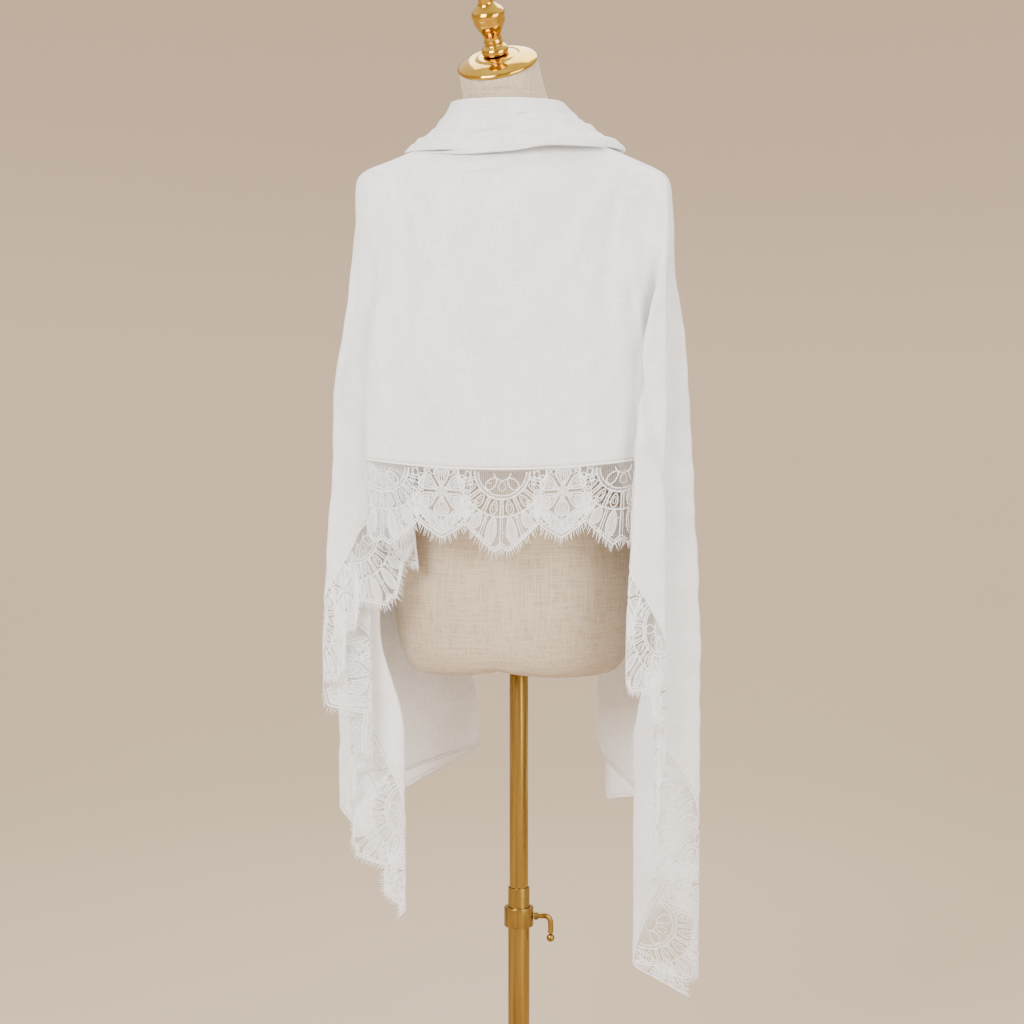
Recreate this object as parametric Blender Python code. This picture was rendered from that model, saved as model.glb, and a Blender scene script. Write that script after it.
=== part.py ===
"""A sheer shawl with a floral lace edge, draped over a limbless dress form on a telescopic stand.

The shawl is one rectangle of voile with lace along one long edge. Its middle hangs in front, its top
edge is rolled round the neck, and each end passes over a shoulder and hangs there as a folded fan.
Metres, +Z up. The stand's underside centre is the origin, and the viewer stands towards -Y.
"""

import math
from collections import namedtuple

import bpy
from mathutils import Vector
from mathutils.geometry import delaunay_2d_cdt

# The cut of the shawl
CLOTH_WALL = 0.0010
FRINGE_WALL = 0.0007
SEAM_GAP = 0.0004
JOIN_GAP = 0.0017
JOIN_DROP = 0.370
PLAIN_DROP = 0.340
LEFT_REACH = 0.857
RIGHT_REACH = 0.962

# Heights of the drape
APEX_Z = 1.334
SHOULDER_Z = 1.310
CLOTH_TOP_Z = 1.352
HIP_Z = 0.750
END_Z = 0.600
NECK_X = -0.005

# Lace repeat and fringe
REPEAT = 0.152
PANEL_LEFT_S = -0.173
PANEL_RIGHT_S = 0.165
VALLEY = 0.069
FLOWER_DEPTH = 0.085
MEDALLION_DEPTH = 0.104
EDGE_STEPS = 12
FRINGE_GAP = 0.0009
FRINGE_STRIP = 0.0022
FRINGE_LENGTH = 0.010
STRAND_HALF = 0.0008
STRAND_ROOM = 0.0090
EDGE_SEARCH_STEPS = 40
HEM_CLEAR = 0.004
CORNER_BARE = 0.016
# Openings cut through the lace: two arcs of cells in each medallion and a ring round each flower's heart
ARC_CENTRE_W = 0.004
ARC_NEAR = 0.036
ARC_FAR = 0.053
ARC_FIRST_ANGLE = 14.0
ARC_LAST_ANGLE = 166.0
ARC_CELLS = 6
ARC_BAR = 0.0065
HEART_CENTRE_W = 0.034
HEART_NEAR = 0.009
HEART_FAR = 0.020
HEART_CELLS = 5
HEART_BAR = 0.0055
OPENING_MARGIN = 0.005
# Where a scallop's depth changes from the medallion's tip to the flower's, as a share of the repeat
TIP_SHARE = 0.30
FLOWER_SHARE = 0.20
TIP_ROUNDNESS = 0.8
TIP_NOTCH = 0.006
TIP_NOTCH_SHARE = 0.03

FRINGE_SHARES = (0.20, 0.50, 0.72)
FRINGED_STROKES = {"left": (1, 2, 4), "right": (1, 2, 3)}
CREASE_SHARES = (0.0, 0.35, 0.7, 1.0)

FOLD_SHARE = 0.15
TOP_FOLD_RADIUS = 0.0035
HIP_FOLD_RADIUS = 0.0050
SEAM_TURN = 0.9
CORNER_CLEAR = 0.8
PANEL_COLUMNS = 12
CLOTH_ROWS = 9

# Stand
INNER_TUBE_RADIUS = 0.0123
OUTER_TUBE_RADIUS = 0.0142
TUBE_GAP = 0.0004
OUTER_TUBE_TOP = 0.392
INNER_TUBE_FOOT = 0.200
BASE_RADIUS = 0.150
BASE_THICK = 0.012
BASE_BEVEL = 0.003
BOSS_FOOT_RADIUS = 0.030
BOSS_TOP_RADIUS = 0.024
BOSS_HEIGHT = 0.020
FORM_BOTTOM_Z = 0.690
SOCKET_RADIUS = 0.030
SOCKET_HEIGHT = 0.010
SOCKET_BEVEL = 0.004
COLLAR_LOW_Z = 0.340
COLLAR_HIGH_Z = 0.366
COLLAR_RADIUS = 0.0195
COLLAR_RIM_RADIUS = 0.0185
COLLAR_BEVEL = 0.003
LEVER_ROD_RADIUS = 0.0040
POLE_SIDES = 20
BASE_SIDES = 40
FORM_SIDES = 28

Level = namedtuple("Level", "z share")
# How far out from the neck the cloth has come at each height over the shoulder
SHOULDER_CURVE = (
    Level(1.310, 1.000),
    Level(1.323, 0.966),
    Level(1.331, 0.885),
    Level(1.340, 0.780),
    Level(1.352, 0.652),
    Level(1.362, 0.520),
    Level(1.372, 0.400),
)

Fold = namedtuple("Fold", "ray x_top y_top x_hip y_hip x_end slack")
# One row for each fold of a fall. ray is the angle in the flat cloth, seen from the shoulder, with 90
# square to the lace join and 0 along the shawl. slack is the length spent on the way over the shoulder.
LEFT_FOLDS = (
    Fold(66.0, -0.186, -0.050, -0.120, -0.109, -0.120, 0.000),
    Fold(51.0, -0.203, -0.043, -0.209, -0.100, -0.209, 0.000),
    Fold(42.6, -0.207, -0.034, -0.250, -0.090, -0.250, 0.000),
    Fold(38.0, -0.191, -0.026, -0.188, -0.079, -0.186, 0.000),
    Fold(33.7, -0.205, -0.018, -0.222, -0.068, -0.218, 0.000),
    Fold(26.4, -0.190, -0.006, -0.178, -0.055, -0.147, 0.000),
    Fold(8.0, -0.207, 0.012, -0.242, 0.010, -0.236, 0.030),
    Fold(-4.0, -0.170, 0.056, -0.080, 0.146, -0.056, 0.085),
    Fold(-21.6, -0.198, 0.068, -0.226, 0.164, -0.222, 0.010),
    Fold(-60.0, -0.140, 0.084, -0.120, 0.176, -0.120, 0.000),
    Fold(-80.0, -0.100, 0.090, -0.085, 0.182, -0.085, 0.000),
)
RIGHT_FOLDS = (
    Fold(60.0, 0.186, -0.038, 0.205, -0.088, 0.205, 0.000),
    Fold(47.6, 0.168, -0.082, 0.132, -0.160, 0.132, 0.000),
    Fold(38.1, 0.186, -0.073, 0.184, -0.149, 0.184, 0.000),
    Fold(31.4, 0.180, -0.062, 0.168, -0.137, 0.168, 0.000),
    Fold(26.7, 0.196, -0.034, 0.230, -0.098, 0.230, 0.000),
    Fold(21.0, 0.180, -0.004, 0.176, -0.052, 0.148, 0.000),
    Fold(8.0, 0.196, 0.012, 0.232, 0.010, 0.228, 0.060),
    Fold(-3.0, 0.165, 0.056, 0.112, 0.144, 0.108, 0.190),
    Fold(-10.0, 0.188, 0.064, 0.214, 0.154, 0.212, 0.120),
    Fold(-19.5, 0.158, 0.074, 0.130, 0.166, 0.122, 0.160),
    Fold(-60.0, 0.140, 0.086, 0.120, 0.176, 0.120, 0.000),
    Fold(-80.0, 0.100, 0.092, 0.085, 0.182, 0.085, 0.000),
)

Ring = namedtuple("Ring", "z half_width front back")
# The form's body below the shoulders
FORM_RINGS = (
    Ring(0.690, 0.036, 0.034, 0.034),
    Ring(0.689, 0.080, 0.058, 0.058),
    Ring(0.692, 0.122, 0.086, 0.086),
    Ring(0.703, 0.141, 0.100, 0.100),
    Ring(0.730, 0.153, 0.109, 0.110),
    Ring(0.790, 0.159, 0.114, 0.116),
    Ring(0.860, 0.155, 0.111, 0.112),
    Ring(0.930, 0.139, 0.103, 0.099),
    Ring(1.000, 0.126, 0.098, 0.090),
    Ring(1.080, 0.130, 0.104, 0.092),
    Ring(1.160, 0.142, 0.112, 0.097),
    Ring(1.220, 0.155, 0.106, 0.098),
    Ring(1.270, 0.172, 0.094, 0.092),
)
SHOULDER_HALF = 0.1832
SHOULDER_FRONT = 0.084
SHOULDER_BACK = 0.086
NECK_HALF = 0.0600
NECK_DEPTH = 0.0580
NECK_BASE_Z = 1.385
LOBE_DROP = 0.012
LOBE_RINGS = 4
NOTCH_TURN = math.radians(-15.0)

# Neck cap and finial lean forward and to the viewer's left
CAP_CENTRE = Vector((-0.027, -0.022, 1.462))
CAP_AXIS = Vector((-0.205, -0.500, 1.0)).normalized()
CAP_RADIUS = 0.052
CAP_RIM = 0.001
CAP_GAP = 0.0005
CAP_FRONT_DROP = 0.034

Turn = namedtuple("Turn", "radius rise")
# Rises are counted along the cap's axis from its underside
CAP_PROFILE = (
    Turn(0.0, 0.0),
    Turn(CAP_RADIUS, 0.0),
    Turn(CAP_RADIUS, 0.004),
    Turn(0.047, 0.008),
    Turn(0.030, 0.0125),
    Turn(0.028, 0.0110),
    Turn(0.026, 0.0130),
    Turn(0.012, 0.0150),
    Turn(0.0, 0.0155),
)
FINIAL_PROFILE = (
    Turn(0.0, 0.0158),
    Turn(0.0170, 0.0158),
    Turn(0.0175, 0.0200),
    Turn(0.0165, 0.0240),
    Turn(0.0110, 0.0280),
    Turn(0.0125, 0.0320),
    Turn(0.0110, 0.0370),
    Turn(0.0125, 0.0420),
    Turn(0.0170, 0.0500),
    Turn(0.0205, 0.0580),
    Turn(0.0200, 0.0630),
    Turn(0.0215, 0.0680),
    Turn(0.0205, 0.0730),
    Turn(0.0130, 0.0800),
    Turn(0.0090, 0.0850),
    Turn(0.0100, 0.0900),
    Turn(0.0060, 0.0970),
    Turn(0.0, 0.0985),
)

LeverPoint = namedtuple("LeverPoint", "x z width")
# The clamp's lever: a bent rod that ends in a ball
LEVER_ROUTE = (
    LeverPoint(0.0200, 0.353, 1.1),
    LeverPoint(0.034, 0.353, 1.0),
    LeverPoint(0.040, 0.349, 1.0),
    LeverPoint(0.042, 0.342, 1.0),
    LeverPoint(0.042, 0.326, 1.35),
    LeverPoint(0.042, 0.318, 1.0),
)
ORIGIN = Vector((0.0, 0.0, 0.0))
UP = Vector((0.0, 0.0, 1.0))

ClothRow = namedtuple("ClothRow", "out z")
# The rolled collar's section: out runs from the neck, 0, to the lip, 1
COWL_SECTION = (
    ClothRow(0.00, 1.388),
    ClothRow(0.00, 1.408),
    ClothRow(0.05, 1.4150),
    ClothRow(0.12, 1.4155),
    ClothRow(0.19, 1.409),
    ClothRow(0.42, 1.389),
    ClothRow(0.74, 1.371),
    ClothRow(0.95, 1.3620),
    ClothRow(1.00, 1.3575),
    ClothRow(0.95, 1.3538),
    ClothRow(0.84, 1.3590),
)
# The lip is an oval round the neck
LIP_HALF = 0.140
LIP_FRONT = 0.0784
LIP_BACK = 0.0686
COWL_COLUMNS = 36

WHITE_CLOTH = (0.93, 0.92, 0.93, 1.0)
LACE_THREAD = (0.95, 0.94, 0.95, 1.0)
LINEN = (0.66, 0.60, 0.53, 1.0)
POLISHED_BRASS = (0.80, 0.58, 0.24, 1.0)
SATIN_BRASS = (0.45, 0.31, 0.12, 1.0)


def clear_scene():
    for obj in list(bpy.data.objects):
        bpy.data.objects.remove(obj, do_unlink=True)


def material(name, colour, roughness, metallic):
    made = bpy.data.materials.new(name)
    made.use_nodes = True
    shader = made.node_tree.nodes["Principled BSDF"]
    shader.inputs["Base Color"].default_value = colour
    shader.inputs["Roughness"].default_value = roughness
    shader.inputs["Metallic"].default_value = metallic
    return made


def add_mesh(name, vertices, faces, finish):
    mesh = bpy.data.meshes.new(name)
    mesh.from_pydata([tuple(v) for v in vertices], [], faces)
    mesh.validate()
    mesh.update()
    obj = bpy.data.objects.new(name, mesh)
    bpy.context.scene.collection.objects.link(obj)
    mesh.materials.append(finish)
    mesh.shade_smooth()
    mesh.set_sharp_from_angle(angle=math.radians(40))
    return obj


def between(a, b, share):
    return a + (b - a) * share


def shoulder_share(z):
    for low, high in zip(SHOULDER_CURVE, SHOULDER_CURVE[1:]):
        if z <= high.z:
            return between(low.share, high.share, (z - low.z) / (high.z - low.z))
    return SHOULDER_CURVE[-1].share


def hang(column, z):
    """A point of the column at height z: out over the shoulder, down to the hip, in below the form."""
    if z > SHOULDER_Z:
        share = shoulder_share(z)
        return Vector((between(NECK_X, column.x_top, share), column.y_top * share, z))
    down = min((SHOULDER_Z - z) / (SHOULDER_Z - HIP_Z), 1.0)
    x = between(column.x_top, column.x_hip, down**0.75)
    y = between(column.y_top, column.y_hip, down**0.5)
    if z < HIP_Z:
        under = min((HIP_Z - z) / (HIP_Z - END_Z), 1.0)
        x = between(column.x_hip, column.x_end, under * under * (3.0 - 2.0 * under))
    return Vector((x, y, z))


def panel_column(share):
    """The front panel's column at share 0, its left fold, to 1, where it passes under the right fall."""
    x_top = between(-0.200, 0.166, share)
    x_hip = between(-0.190, 0.134, share)
    y_top = -0.110 + 0.050 * ((x_top + 0.009) / 0.191) ** 2
    y_hip = -0.165 + 0.040 * ((x_hip + 0.010) / 0.180) ** 2
    return Fold(90.0, x_top, y_top, x_hip, y_hip, x_hip, 0.0)


def turned_over(start, end, share, lead, trail):
    """From fold to fold: the cloth turns by lead and trail beside the folds and runs straight between."""
    if share < FOLD_SHARE:
        return start + lead * share / FOLD_SHARE
    if share > 1.0 - FOLD_SHARE:
        return end - trail * (1.0 - share) / FOLD_SHARE
    return between(start + lead, end - trail, (share - FOLD_SHARE) / (1.0 - 2.0 * FOLD_SHARE))


def swung(start, end, share, radius):
    """The place across a stroke, where both ends turn towards the stroke."""
    turn = math.copysign(min(radius, 0.42 * abs(end - start)), end - start)
    return turned_over(start, end, share, turn, turn)


def stepped(start, end, share, radius, ways):
    """The depth along a stroke, where each end turns the way that the cloth goes on past its fold."""
    if ways[0] * (end - start) > 0 and ways[1] * (end - start) > 0:
        radius = min(radius, 0.42 * abs(end - start))
    return turned_over(start, end, share, ways[0] * radius, ways[1] * radius)


def fold_way(folds, index):
    """Whether the cloth goes on forwards, -1, or backwards, 1, round this fold."""
    before = folds[max(index - 1, 0)]
    after = folds[min(index + 1, len(folds) - 1)]
    if index == 0 and before.x_hip > 0:
        return 0
    return 1 if after.y_hip > before.y_hip else -1


def fan_column(folds, ray):
    """The column of a fall at a ray, between the two folds that the ray lies between."""
    for index, (near, far) in enumerate(zip(folds, folds[1:])):
        if ray >= far.ray:
            share = (near.ray - ray) / (near.ray - far.ray)
            ways = (fold_way(folds, index), fold_way(folds, index + 1))
            return Fold(
                ray,
                swung(near.x_top, far.x_top, share, TOP_FOLD_RADIUS),
                stepped(near.y_top, far.y_top, share, TOP_FOLD_RADIUS, ways),
                swung(near.x_hip, far.x_hip, share, HIP_FOLD_RADIUS),
                stepped(near.y_hip, far.y_hip, share, HIP_FOLD_RADIUS, ways),
                swung(near.x_end, far.x_end, share, HIP_FOLD_RADIUS),
                between(near.slack, far.slack, share),
            )
    return folds[-1]


def fall_length(ray, reach):
    """Cloth from the shoulder to the fall's lower edge, and whether that edge is the lace join."""
    angle = math.radians(ray)
    join = JOIN_DROP / math.sin(angle) if ray > 0 else math.inf
    plain = PLAIN_DROP / math.sin(-angle) if ray < 0 else math.inf
    hem = reach / math.cos(angle) if abs(ray) < 89.9 else math.inf
    return min(join, plain, hem)


def plan_normal(before, after):
    """Level normal of a hanging wall, from two points side by side on it."""
    along = after - before
    return Vector((along.y, -along.x, 0.0)).normalized()


def fan_face(points, corners):
    """A twisted end face as four triangles round its middle, so that both sides of a join match."""
    middle = sum((points[i] for i in corners), Vector()) / len(corners)
    points.append(middle)
    hub = len(points) - 1
    return [(a, b, hub) for a, b in zip(corners, corners[1:] + corners[:1])]


def grid_solid(name, rows, finish, closed_round=False, plan_normals=None):
    """A wall of even thickness on a grid of points, closed at its edges.

    Below the shoulder the given level normals hold, so that what is sewn on meets it edge to edge."""
    row_count = len(rows)
    column_count = len(rows[0])
    outer = []
    inner = []
    for i, row in enumerate(rows):
        for j, point in enumerate(row):
            if closed_round:
                before = row[j - 1]
                after = row[(j + 1) % column_count]
            else:
                before = row[max(j - 1, 0)]
                after = row[min(j + 1, column_count - 1)]
            above = rows[max(i - 1, 0)][j]
            below = rows[min(i + 1, row_count - 1)][j]
            normal = (below - above).cross(after - before).normalized()
            if plan_normals and point.z < SHOULDER_Z - 0.001:
                normal = plan_normals[i][j]
            outer.append(point + normal * CLOTH_WALL / 2)
            inner.append(point - normal * CLOTH_WALL / 2)
    count = row_count * column_count
    faces = []
    last = column_count if closed_round else column_count - 1
    for i in range(row_count - 1):
        for j in range(last):
            k = (j + 1) % column_count
            a = i * column_count + j
            b = i * column_count + k
            c = b + column_count
            d = a + column_count
            faces += [(a, d, c, b), (count + a, count + b, count + c, count + d)]
    foot = (row_count - 1) * column_count
    points = outer + inner
    for j in range(last):
        k = (j + 1) % column_count
        faces += [(j, k, count + k, count + j)]
        faces += fan_face(points, (foot + k, foot + j, count + foot + j, count + foot + k))
    if not closed_round:
        for i in range(row_count - 1):
            a = i * column_count
            d = a + column_count
            faces += [(a, count + a, count + d, d)]
            b = a + column_count - 1
            c = b + column_count
            faces += [(b, c, count + c, count + b)]
    return add_mesh(name, points, faces, finish)


def panel_normal(share, z):
    step = 0.004
    return plan_normal(hang(panel_column(share - step), z), hang(panel_column(share + step), z))


def fall_normal(folds, ray, z):
    step = 0.15
    near = min(ray + step, folds[0].ray)
    far = max(ray - step, folds[-1].ray)
    return plan_normal(hang(fan_column(folds, near), z), hang(fan_column(folds, far), z))


def row_heights(top, bottom):
    """Heights down a column: close together over the shoulder, then even."""
    over = [top, 1.340, 1.326, SHOULDER_Z]
    steps = CLOTH_ROWS - len(over) + 1
    return over + [between(SHOULDER_Z, bottom, i / steps) for i in range(1, steps + 1)]


def join_z(share):
    """The front join sags a little in its middle."""
    return APEX_Z - JOIN_DROP - 0.010 * (1.0 - (2.0 * share - 1.0) ** 2)


def panel_shares():
    return [i / PANEL_COLUMNS for i in range(PANEL_COLUMNS + 1)]


def fall_rays(folds, reach):
    """Rays of a fall's columns, with one through each corner of the cloth, the first a seam off the panel."""
    corners = (
        math.degrees(math.atan2(JOIN_DROP, reach)),
        -math.degrees(math.atan2(PLAIN_DROP, reach)),
    )
    rays = list(corners)
    for near, far in zip(folds, folds[1:]):
        for share in (0.0, FOLD_SHARE, 0.5, 1.0 - FOLD_SHARE):
            ray = between(near.ray, far.ray, share)
            if min(abs(ray - corner) for corner in corners) > CORNER_CLEAR:
                rays.append(ray)
    rays.append(folds[-1].ray)
    rays.sort(reverse=True)
    return [rays[0] - SEAM_TURN] + rays[1:]


def fall_bottom(folds, ray, reach):
    return APEX_Z - fall_length(ray, reach) + fan_column(folds, ray).slack


def columns_to_rows(columns):
    return [list(row) for row in zip(*columns)]


def build_panel(finish):
    columns = []
    normals = []
    for share in panel_shares():
        heights = row_heights(CLOTH_TOP_Z, join_z(share) + SEAM_GAP / 2)
        columns.append([hang(panel_column(share), z) for z in heights])
        normals.append([panel_normal(share, z) for z in heights])
    return grid_solid(
        "front_panel", columns_to_rows(columns), finish, plan_normals=columns_to_rows(normals)
    )


def build_fall(name, folds, reach, finish):
    columns = []
    normals = []
    for ray in fall_rays(folds, reach):
        heights = row_heights(CLOTH_TOP_Z, fall_bottom(folds, ray, reach) + JOIN_GAP / 2)
        columns.append([hang(fan_column(folds, ray), z) for z in heights])
        normals.append([fall_normal(folds, ray, z) for z in heights])
    return grid_solid(name, columns_to_rows(columns), finish, plan_normals=columns_to_rows(normals))


def scallop(s):
    """Depth of the lace at s along it: a flower's round scallop, then a medallion's double tip."""
    place = abs(((s / REPEAT + 0.5) % 1.0) - 0.5)
    if place < TIP_SHARE:
        tip = math.cos(math.pi / 2 * place / TIP_SHARE) ** TIP_ROUNDNESS
        notch = TIP_NOTCH * math.exp(-((place / TIP_NOTCH_SHARE) ** 2))
        return between(VALLEY, MEDALLION_DEPTH, tip) - notch
    tip = math.cos(math.pi / 2 * (0.5 - place) / FLOWER_SHARE) ** TIP_ROUNDNESS
    return between(VALLEY, FLOWER_DEPTH, tip)


Cells = namedtuple("Cells", "centre_w near far first_angle last_angle count bar")
MEDALLION_ARC = Cells(ARC_CENTRE_W, ARC_NEAR, ARC_FAR, ARC_FIRST_ANGLE, ARC_LAST_ANGLE, ARC_CELLS, ARC_BAR)
FLOWER_HEART = Cells(HEART_CENTRE_W, HEART_NEAR, HEART_FAR, 0.0, 360.0, HEART_CELLS, HEART_BAR)


def ring_gaps(centre_s, cells):
    """Openings between thread bars, round a centre, from the first angle to the last in degrees."""
    gaps = []
    step = (cells.last_angle - cells.first_angle) / cells.count
    for i in range(cells.count):
        a = math.radians(cells.first_angle + step * i)
        b = math.radians(cells.first_angle + step * (i + 1))
        corners = []
        for radius, start, end in ((cells.near, a, b), (cells.far, b, a)):
            inset = cells.bar / radius / 2
            low = start + inset if start < end else start - inset
            high = end - inset if start < end else end + inset
            corners += [(radius, low), (radius, high)]
        centre_w = cells.centre_w
        gaps.append([(centre_s + r * math.cos(t), centre_w + r * math.sin(t)) for r, t in corners])
    return gaps


def lace_gaps(first_s, last_s):
    """The large openings: two arcs of each medallion, and round each flower's heart."""
    gaps = []
    first = math.floor(first_s / REPEAT) - 1
    last = math.ceil(last_s / REPEAT) + 1
    for k in range(first, last + 1):
        gaps += ring_gaps(k * REPEAT, MEDALLION_ARC)
        gaps += ring_gaps((k + 0.5) * REPEAT, FLOWER_HEART)
    margin = OPENING_MARGIN
    inside = []
    for gap in gaps:
        if all(first_s + margin < s < last_s - margin for s, w in gap):
            if all(margin < w < scallop(s) - margin for s, w in gap):
                inside.append(gap)
    return inside


def contains(polygon, point):
    x, y = point
    inside = False
    for (x1, y1), (x2, y2) in zip(polygon, polygon[1:] + polygon[:1]):
        if (y1 > y) != (y2 > y) and x < (x2 - x1) * (y - y1) / (y2 - y1) + x1:
            inside = not inside
    return inside


def shaped_solid(name, outline, joined_count, holes, creases, surface, finish, wall=CLOTH_WALL):
    """A wall cut to an outline in the flat cloth, with holes, laid on a surface of (s, w).

    Edges run along each crease, a line of points from the join to the outline. The first
    joined_count points of the outline lie along a neighbour."""
    points = []
    edges = []
    for polygon in [outline] + holes:
        start = len(points)
        points += polygon
        count = len(polygon)
        edges += [(start + i, start + (i + 1) % count) for i in range(count)]
    for crease in creases:
        start = len(points)
        points += crease
        edges += [(start + i, start + i + 1) for i in range(len(crease) - 1)]
    flat = [Vector(p) for p in points]
    made = delaunay_2d_cdt(flat, edges, [], 0, 1e-7)
    places = [tuple(v) for v in made[0]]
    triangles = []
    for triangle in made[2]:
        centre = [sum(places[i][axis] for i in triangle) / 3 for axis in (0, 1)]
        if contains(outline, centre) and not any(contains(hole, centre) for hole in holes):
            triangles.append(tuple(triangle))
    used = sorted({i for triangle in triangles for i in triangle})
    number = {old: new for new, old in enumerate(used)}
    triangles = [tuple(number[i] for i in triangle) for triangle in triangles]
    outer = []
    inner = []
    for i in used:
        middle, normal = surface(*places[i])
        outer.append(middle + normal * wall / 2)
        inner.append(middle - normal * wall / 2)
    count = len(used)
    faces = []
    sides = {}
    for a, b, c in triangles:
        faces += [(a, c, b), (count + a, count + b, count + c)]
        for edge in ((a, b), (b, c), (c, a)):
            sides[edge] = True
    solid_points = outer + inner
    joined = {number[i] for i in used if any(old < joined_count for old in made[3][i])}
    for a, b in sides:
        if (b, a) in sides:
            continue
        corners = (a, b, count + b, count + a)
        if a in joined and b in joined:
            faces += fan_face(solid_points, corners)
        else:
            faces.append(corners)
    return add_mesh(name, solid_points, faces, finish)


LaceColumn = namedtuple("LaceColumn", "top foot_s foot_w at_hem is_corner")


def edge_stations(ends):
    """Places along the scalloped edge: where the columns reach it, and even steps between them."""
    step = REPEAT / EDGE_STEPS
    first = math.ceil(ends[0] / step)
    last = math.floor(ends[-1] / step)
    steps = [i * step for i in range(first, last + 1)]
    clear = [s for s in steps if min(abs(s - end) for end in ends) > step * 0.35]
    return sorted(clear + list(ends))


def build_lace(name, columns, top_w, surface, finish):
    """The lace band: each column runs from the join to its foot, on the scallops or the short hem."""
    tops = sorted(column.top for column in columns)
    hem_feet = sorted(column.foot_w for column in columns if column.at_hem)
    bottom = [(s, scallop(s)) for s in edge_stations(scallop_feet(columns))]
    outline = [(s, top_w) for s in tops]
    hem_s = [column.foot_s for column in columns if column.at_hem]
    hem = [(hem_s[0], w) for w in hem_feet] if hem_s else []
    hem_is_left = bool(hem_s) and hem_s[0] < 0.0
    outline += ([] if hem_is_left else hem) + bottom[::-1] + (hem[::-1] if hem_is_left else [])
    gaps = lace_gaps(bottom[0][0], bottom[-1][0])
    creases = []
    for column in columns:
        if column.top not in (tops[0], tops[-1]):
            creases.append(
                [
                    (between(column.top, column.foot_s, share), between(top_w, column.foot_w, share))
                    for share in CREASE_SHARES
                ]
            )
    return shaped_solid(name, outline, len(outline), gaps, creases, surface, finish)


def scallop_feet(columns):
    """Where the columns reach the scalloped edge, with both ends of that edge."""
    feet = [column.foot_s for column in columns if not column.at_hem]
    feet += [column.top for column in columns if column.is_corner]
    return sorted(set(feet))


def build_fringe(name, columns, surface, finish):
    """A narrow strip along the scalloped edge with eyelash strands standing out from it."""
    stations = edge_stations(scallop_feet(columns))
    top = [(s, scallop(s) + FRINGE_GAP) for s in stations]
    bottom = []
    for near, far in zip(stations, stations[1:]):
        bottom.append((near, scallop(near) + FRINGE_GAP + FRINGE_STRIP))
        middle = (near + far) / 2
        if far - near > STRAND_ROOM:
            root = (scallop(near) + scallop(far)) / 2 + FRINGE_GAP + FRINGE_STRIP
            bottom.append((middle - STRAND_HALF, root))
            bottom.append((middle, root + FRINGE_LENGTH))
            bottom.append((middle + STRAND_HALF, root))
    bottom.append((stations[-1], scallop(stations[-1]) + FRINGE_GAP + FRINGE_STRIP))
    return shaped_solid(name, top + bottom[::-1], len(top), [], [], surface, finish, FRINGE_WALL)


def panel_surface(s, w):
    share = (s - PANEL_LEFT_S) / (PANEL_RIGHT_S - PANEL_LEFT_S)
    z = join_z(share) - w
    return hang(panel_column(share), z), panel_normal(share, z)


def fall_surface(folds, start_s, side):
    """The surface of a fall's lace: s runs on from the panel, outwards on its side."""

    def surface(s, w):
        along = (s - start_s) * side
        below = JOIN_DROP + w
        ray = min(math.degrees(math.atan2(below, along)), folds[0].ray)
        column = fan_column(folds, ray)
        z = APEX_Z - math.hypot(along, below) + column.slack
        return hang(column, z), fall_normal(folds, ray, z) * side

    return surface


def foot_on_scallops(ray, start_s, side):
    """Where a ray crosses the scalloped edge."""
    foot = start_s
    for _ in range(EDGE_SEARCH_STEPS):
        foot = start_s + side * (JOIN_DROP + scallop(foot)) / math.tan(math.radians(ray))
    return foot


def lace_columns(folds, reach, start_s, side):
    """The fall's columns carried on through its lace, each a ray in the flat cloth."""
    corner = math.degrees(math.atan2(JOIN_DROP, reach))
    limit = start_s + side * reach
    columns = []
    for ray in fall_rays(folds, reach):
        if ray < corner - 0.01:
            break
        slope = 1.0 / math.tan(math.radians(ray))
        top = start_s + side * (JOIN_DROP + JOIN_GAP / 2) * slope
        foot = foot_on_scallops(ray, start_s, side)
        if ray < corner + 0.01:
            columns.append(LaceColumn(limit, limit, 0.0, False, True))
        elif (limit - foot) * side > HEM_CLEAR:
            columns.append(LaceColumn(top, foot, scallop(foot), False, False))
        else:
            columns.append(LaceColumn(top, limit, reach / slope - JOIN_DROP, True, False))
    return columns


def fringe_columns(near, far, reach, start_s, side):
    """Feet of the columns in one stroke's straight part, up to the short hem."""
    limit = start_s + side * (reach - CORNER_BARE)
    feet = [foot_on_scallops(between(near.ray, far.ray, share), start_s, side) for share in FRINGE_SHARES]
    feet = [side * min(side * foot, side * limit) for foot in feet]
    return [LaceColumn(foot, foot, scallop(foot), False, False) for foot in feet]


def polar(x_half, y_front, y_back, turn):
    """Radius of an oval with its own front and back depths."""
    depth = y_front if math.cos(turn) > 0 else y_back
    return 1.0 / math.hypot(math.sin(turn) / x_half, math.cos(turn) / depth)


def oval_point(centre_x, centre_y, x_half, y_front, y_back, turn, z):
    radius = polar(x_half, y_front, y_back, turn)
    return Vector((centre_x + radius * math.sin(turn), centre_y - radius * math.cos(turn), z))


def build_cowl(finish):
    rows = []
    for section in COWL_SECTION:
        row = []
        for j in range(COWL_COLUMNS):
            turn = 2 * math.pi * j / COWL_COLUMNS
            wall = NECK_HALF + SEAM_GAP + CLOTH_WALL / 2
            depth = NECK_DEPTH + SEAM_GAP + CLOTH_WALL / 2
            neck = oval_point(*neck_centre(section.z), wall, depth, depth, turn, section.z)
            lip = oval_point(NECK_X, 0.0, LIP_HALF, LIP_FRONT, LIP_BACK, turn, section.z)
            row.append(neck.lerp(lip, section.out))
        rows.append(row)
    return grid_solid("cowl", rows, finish, closed_round=True)


def neck_centre(z):
    """The neck leans forward and to the viewer's left towards its cap."""
    share = max(0.0, min((z - NECK_BASE_Z) / (CAP_CENTRE.z - NECK_BASE_Z), 1.0))
    return between(-0.010, CAP_CENTRE.x, share), between(0.0, CAP_CENTRE.y, share)


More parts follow.
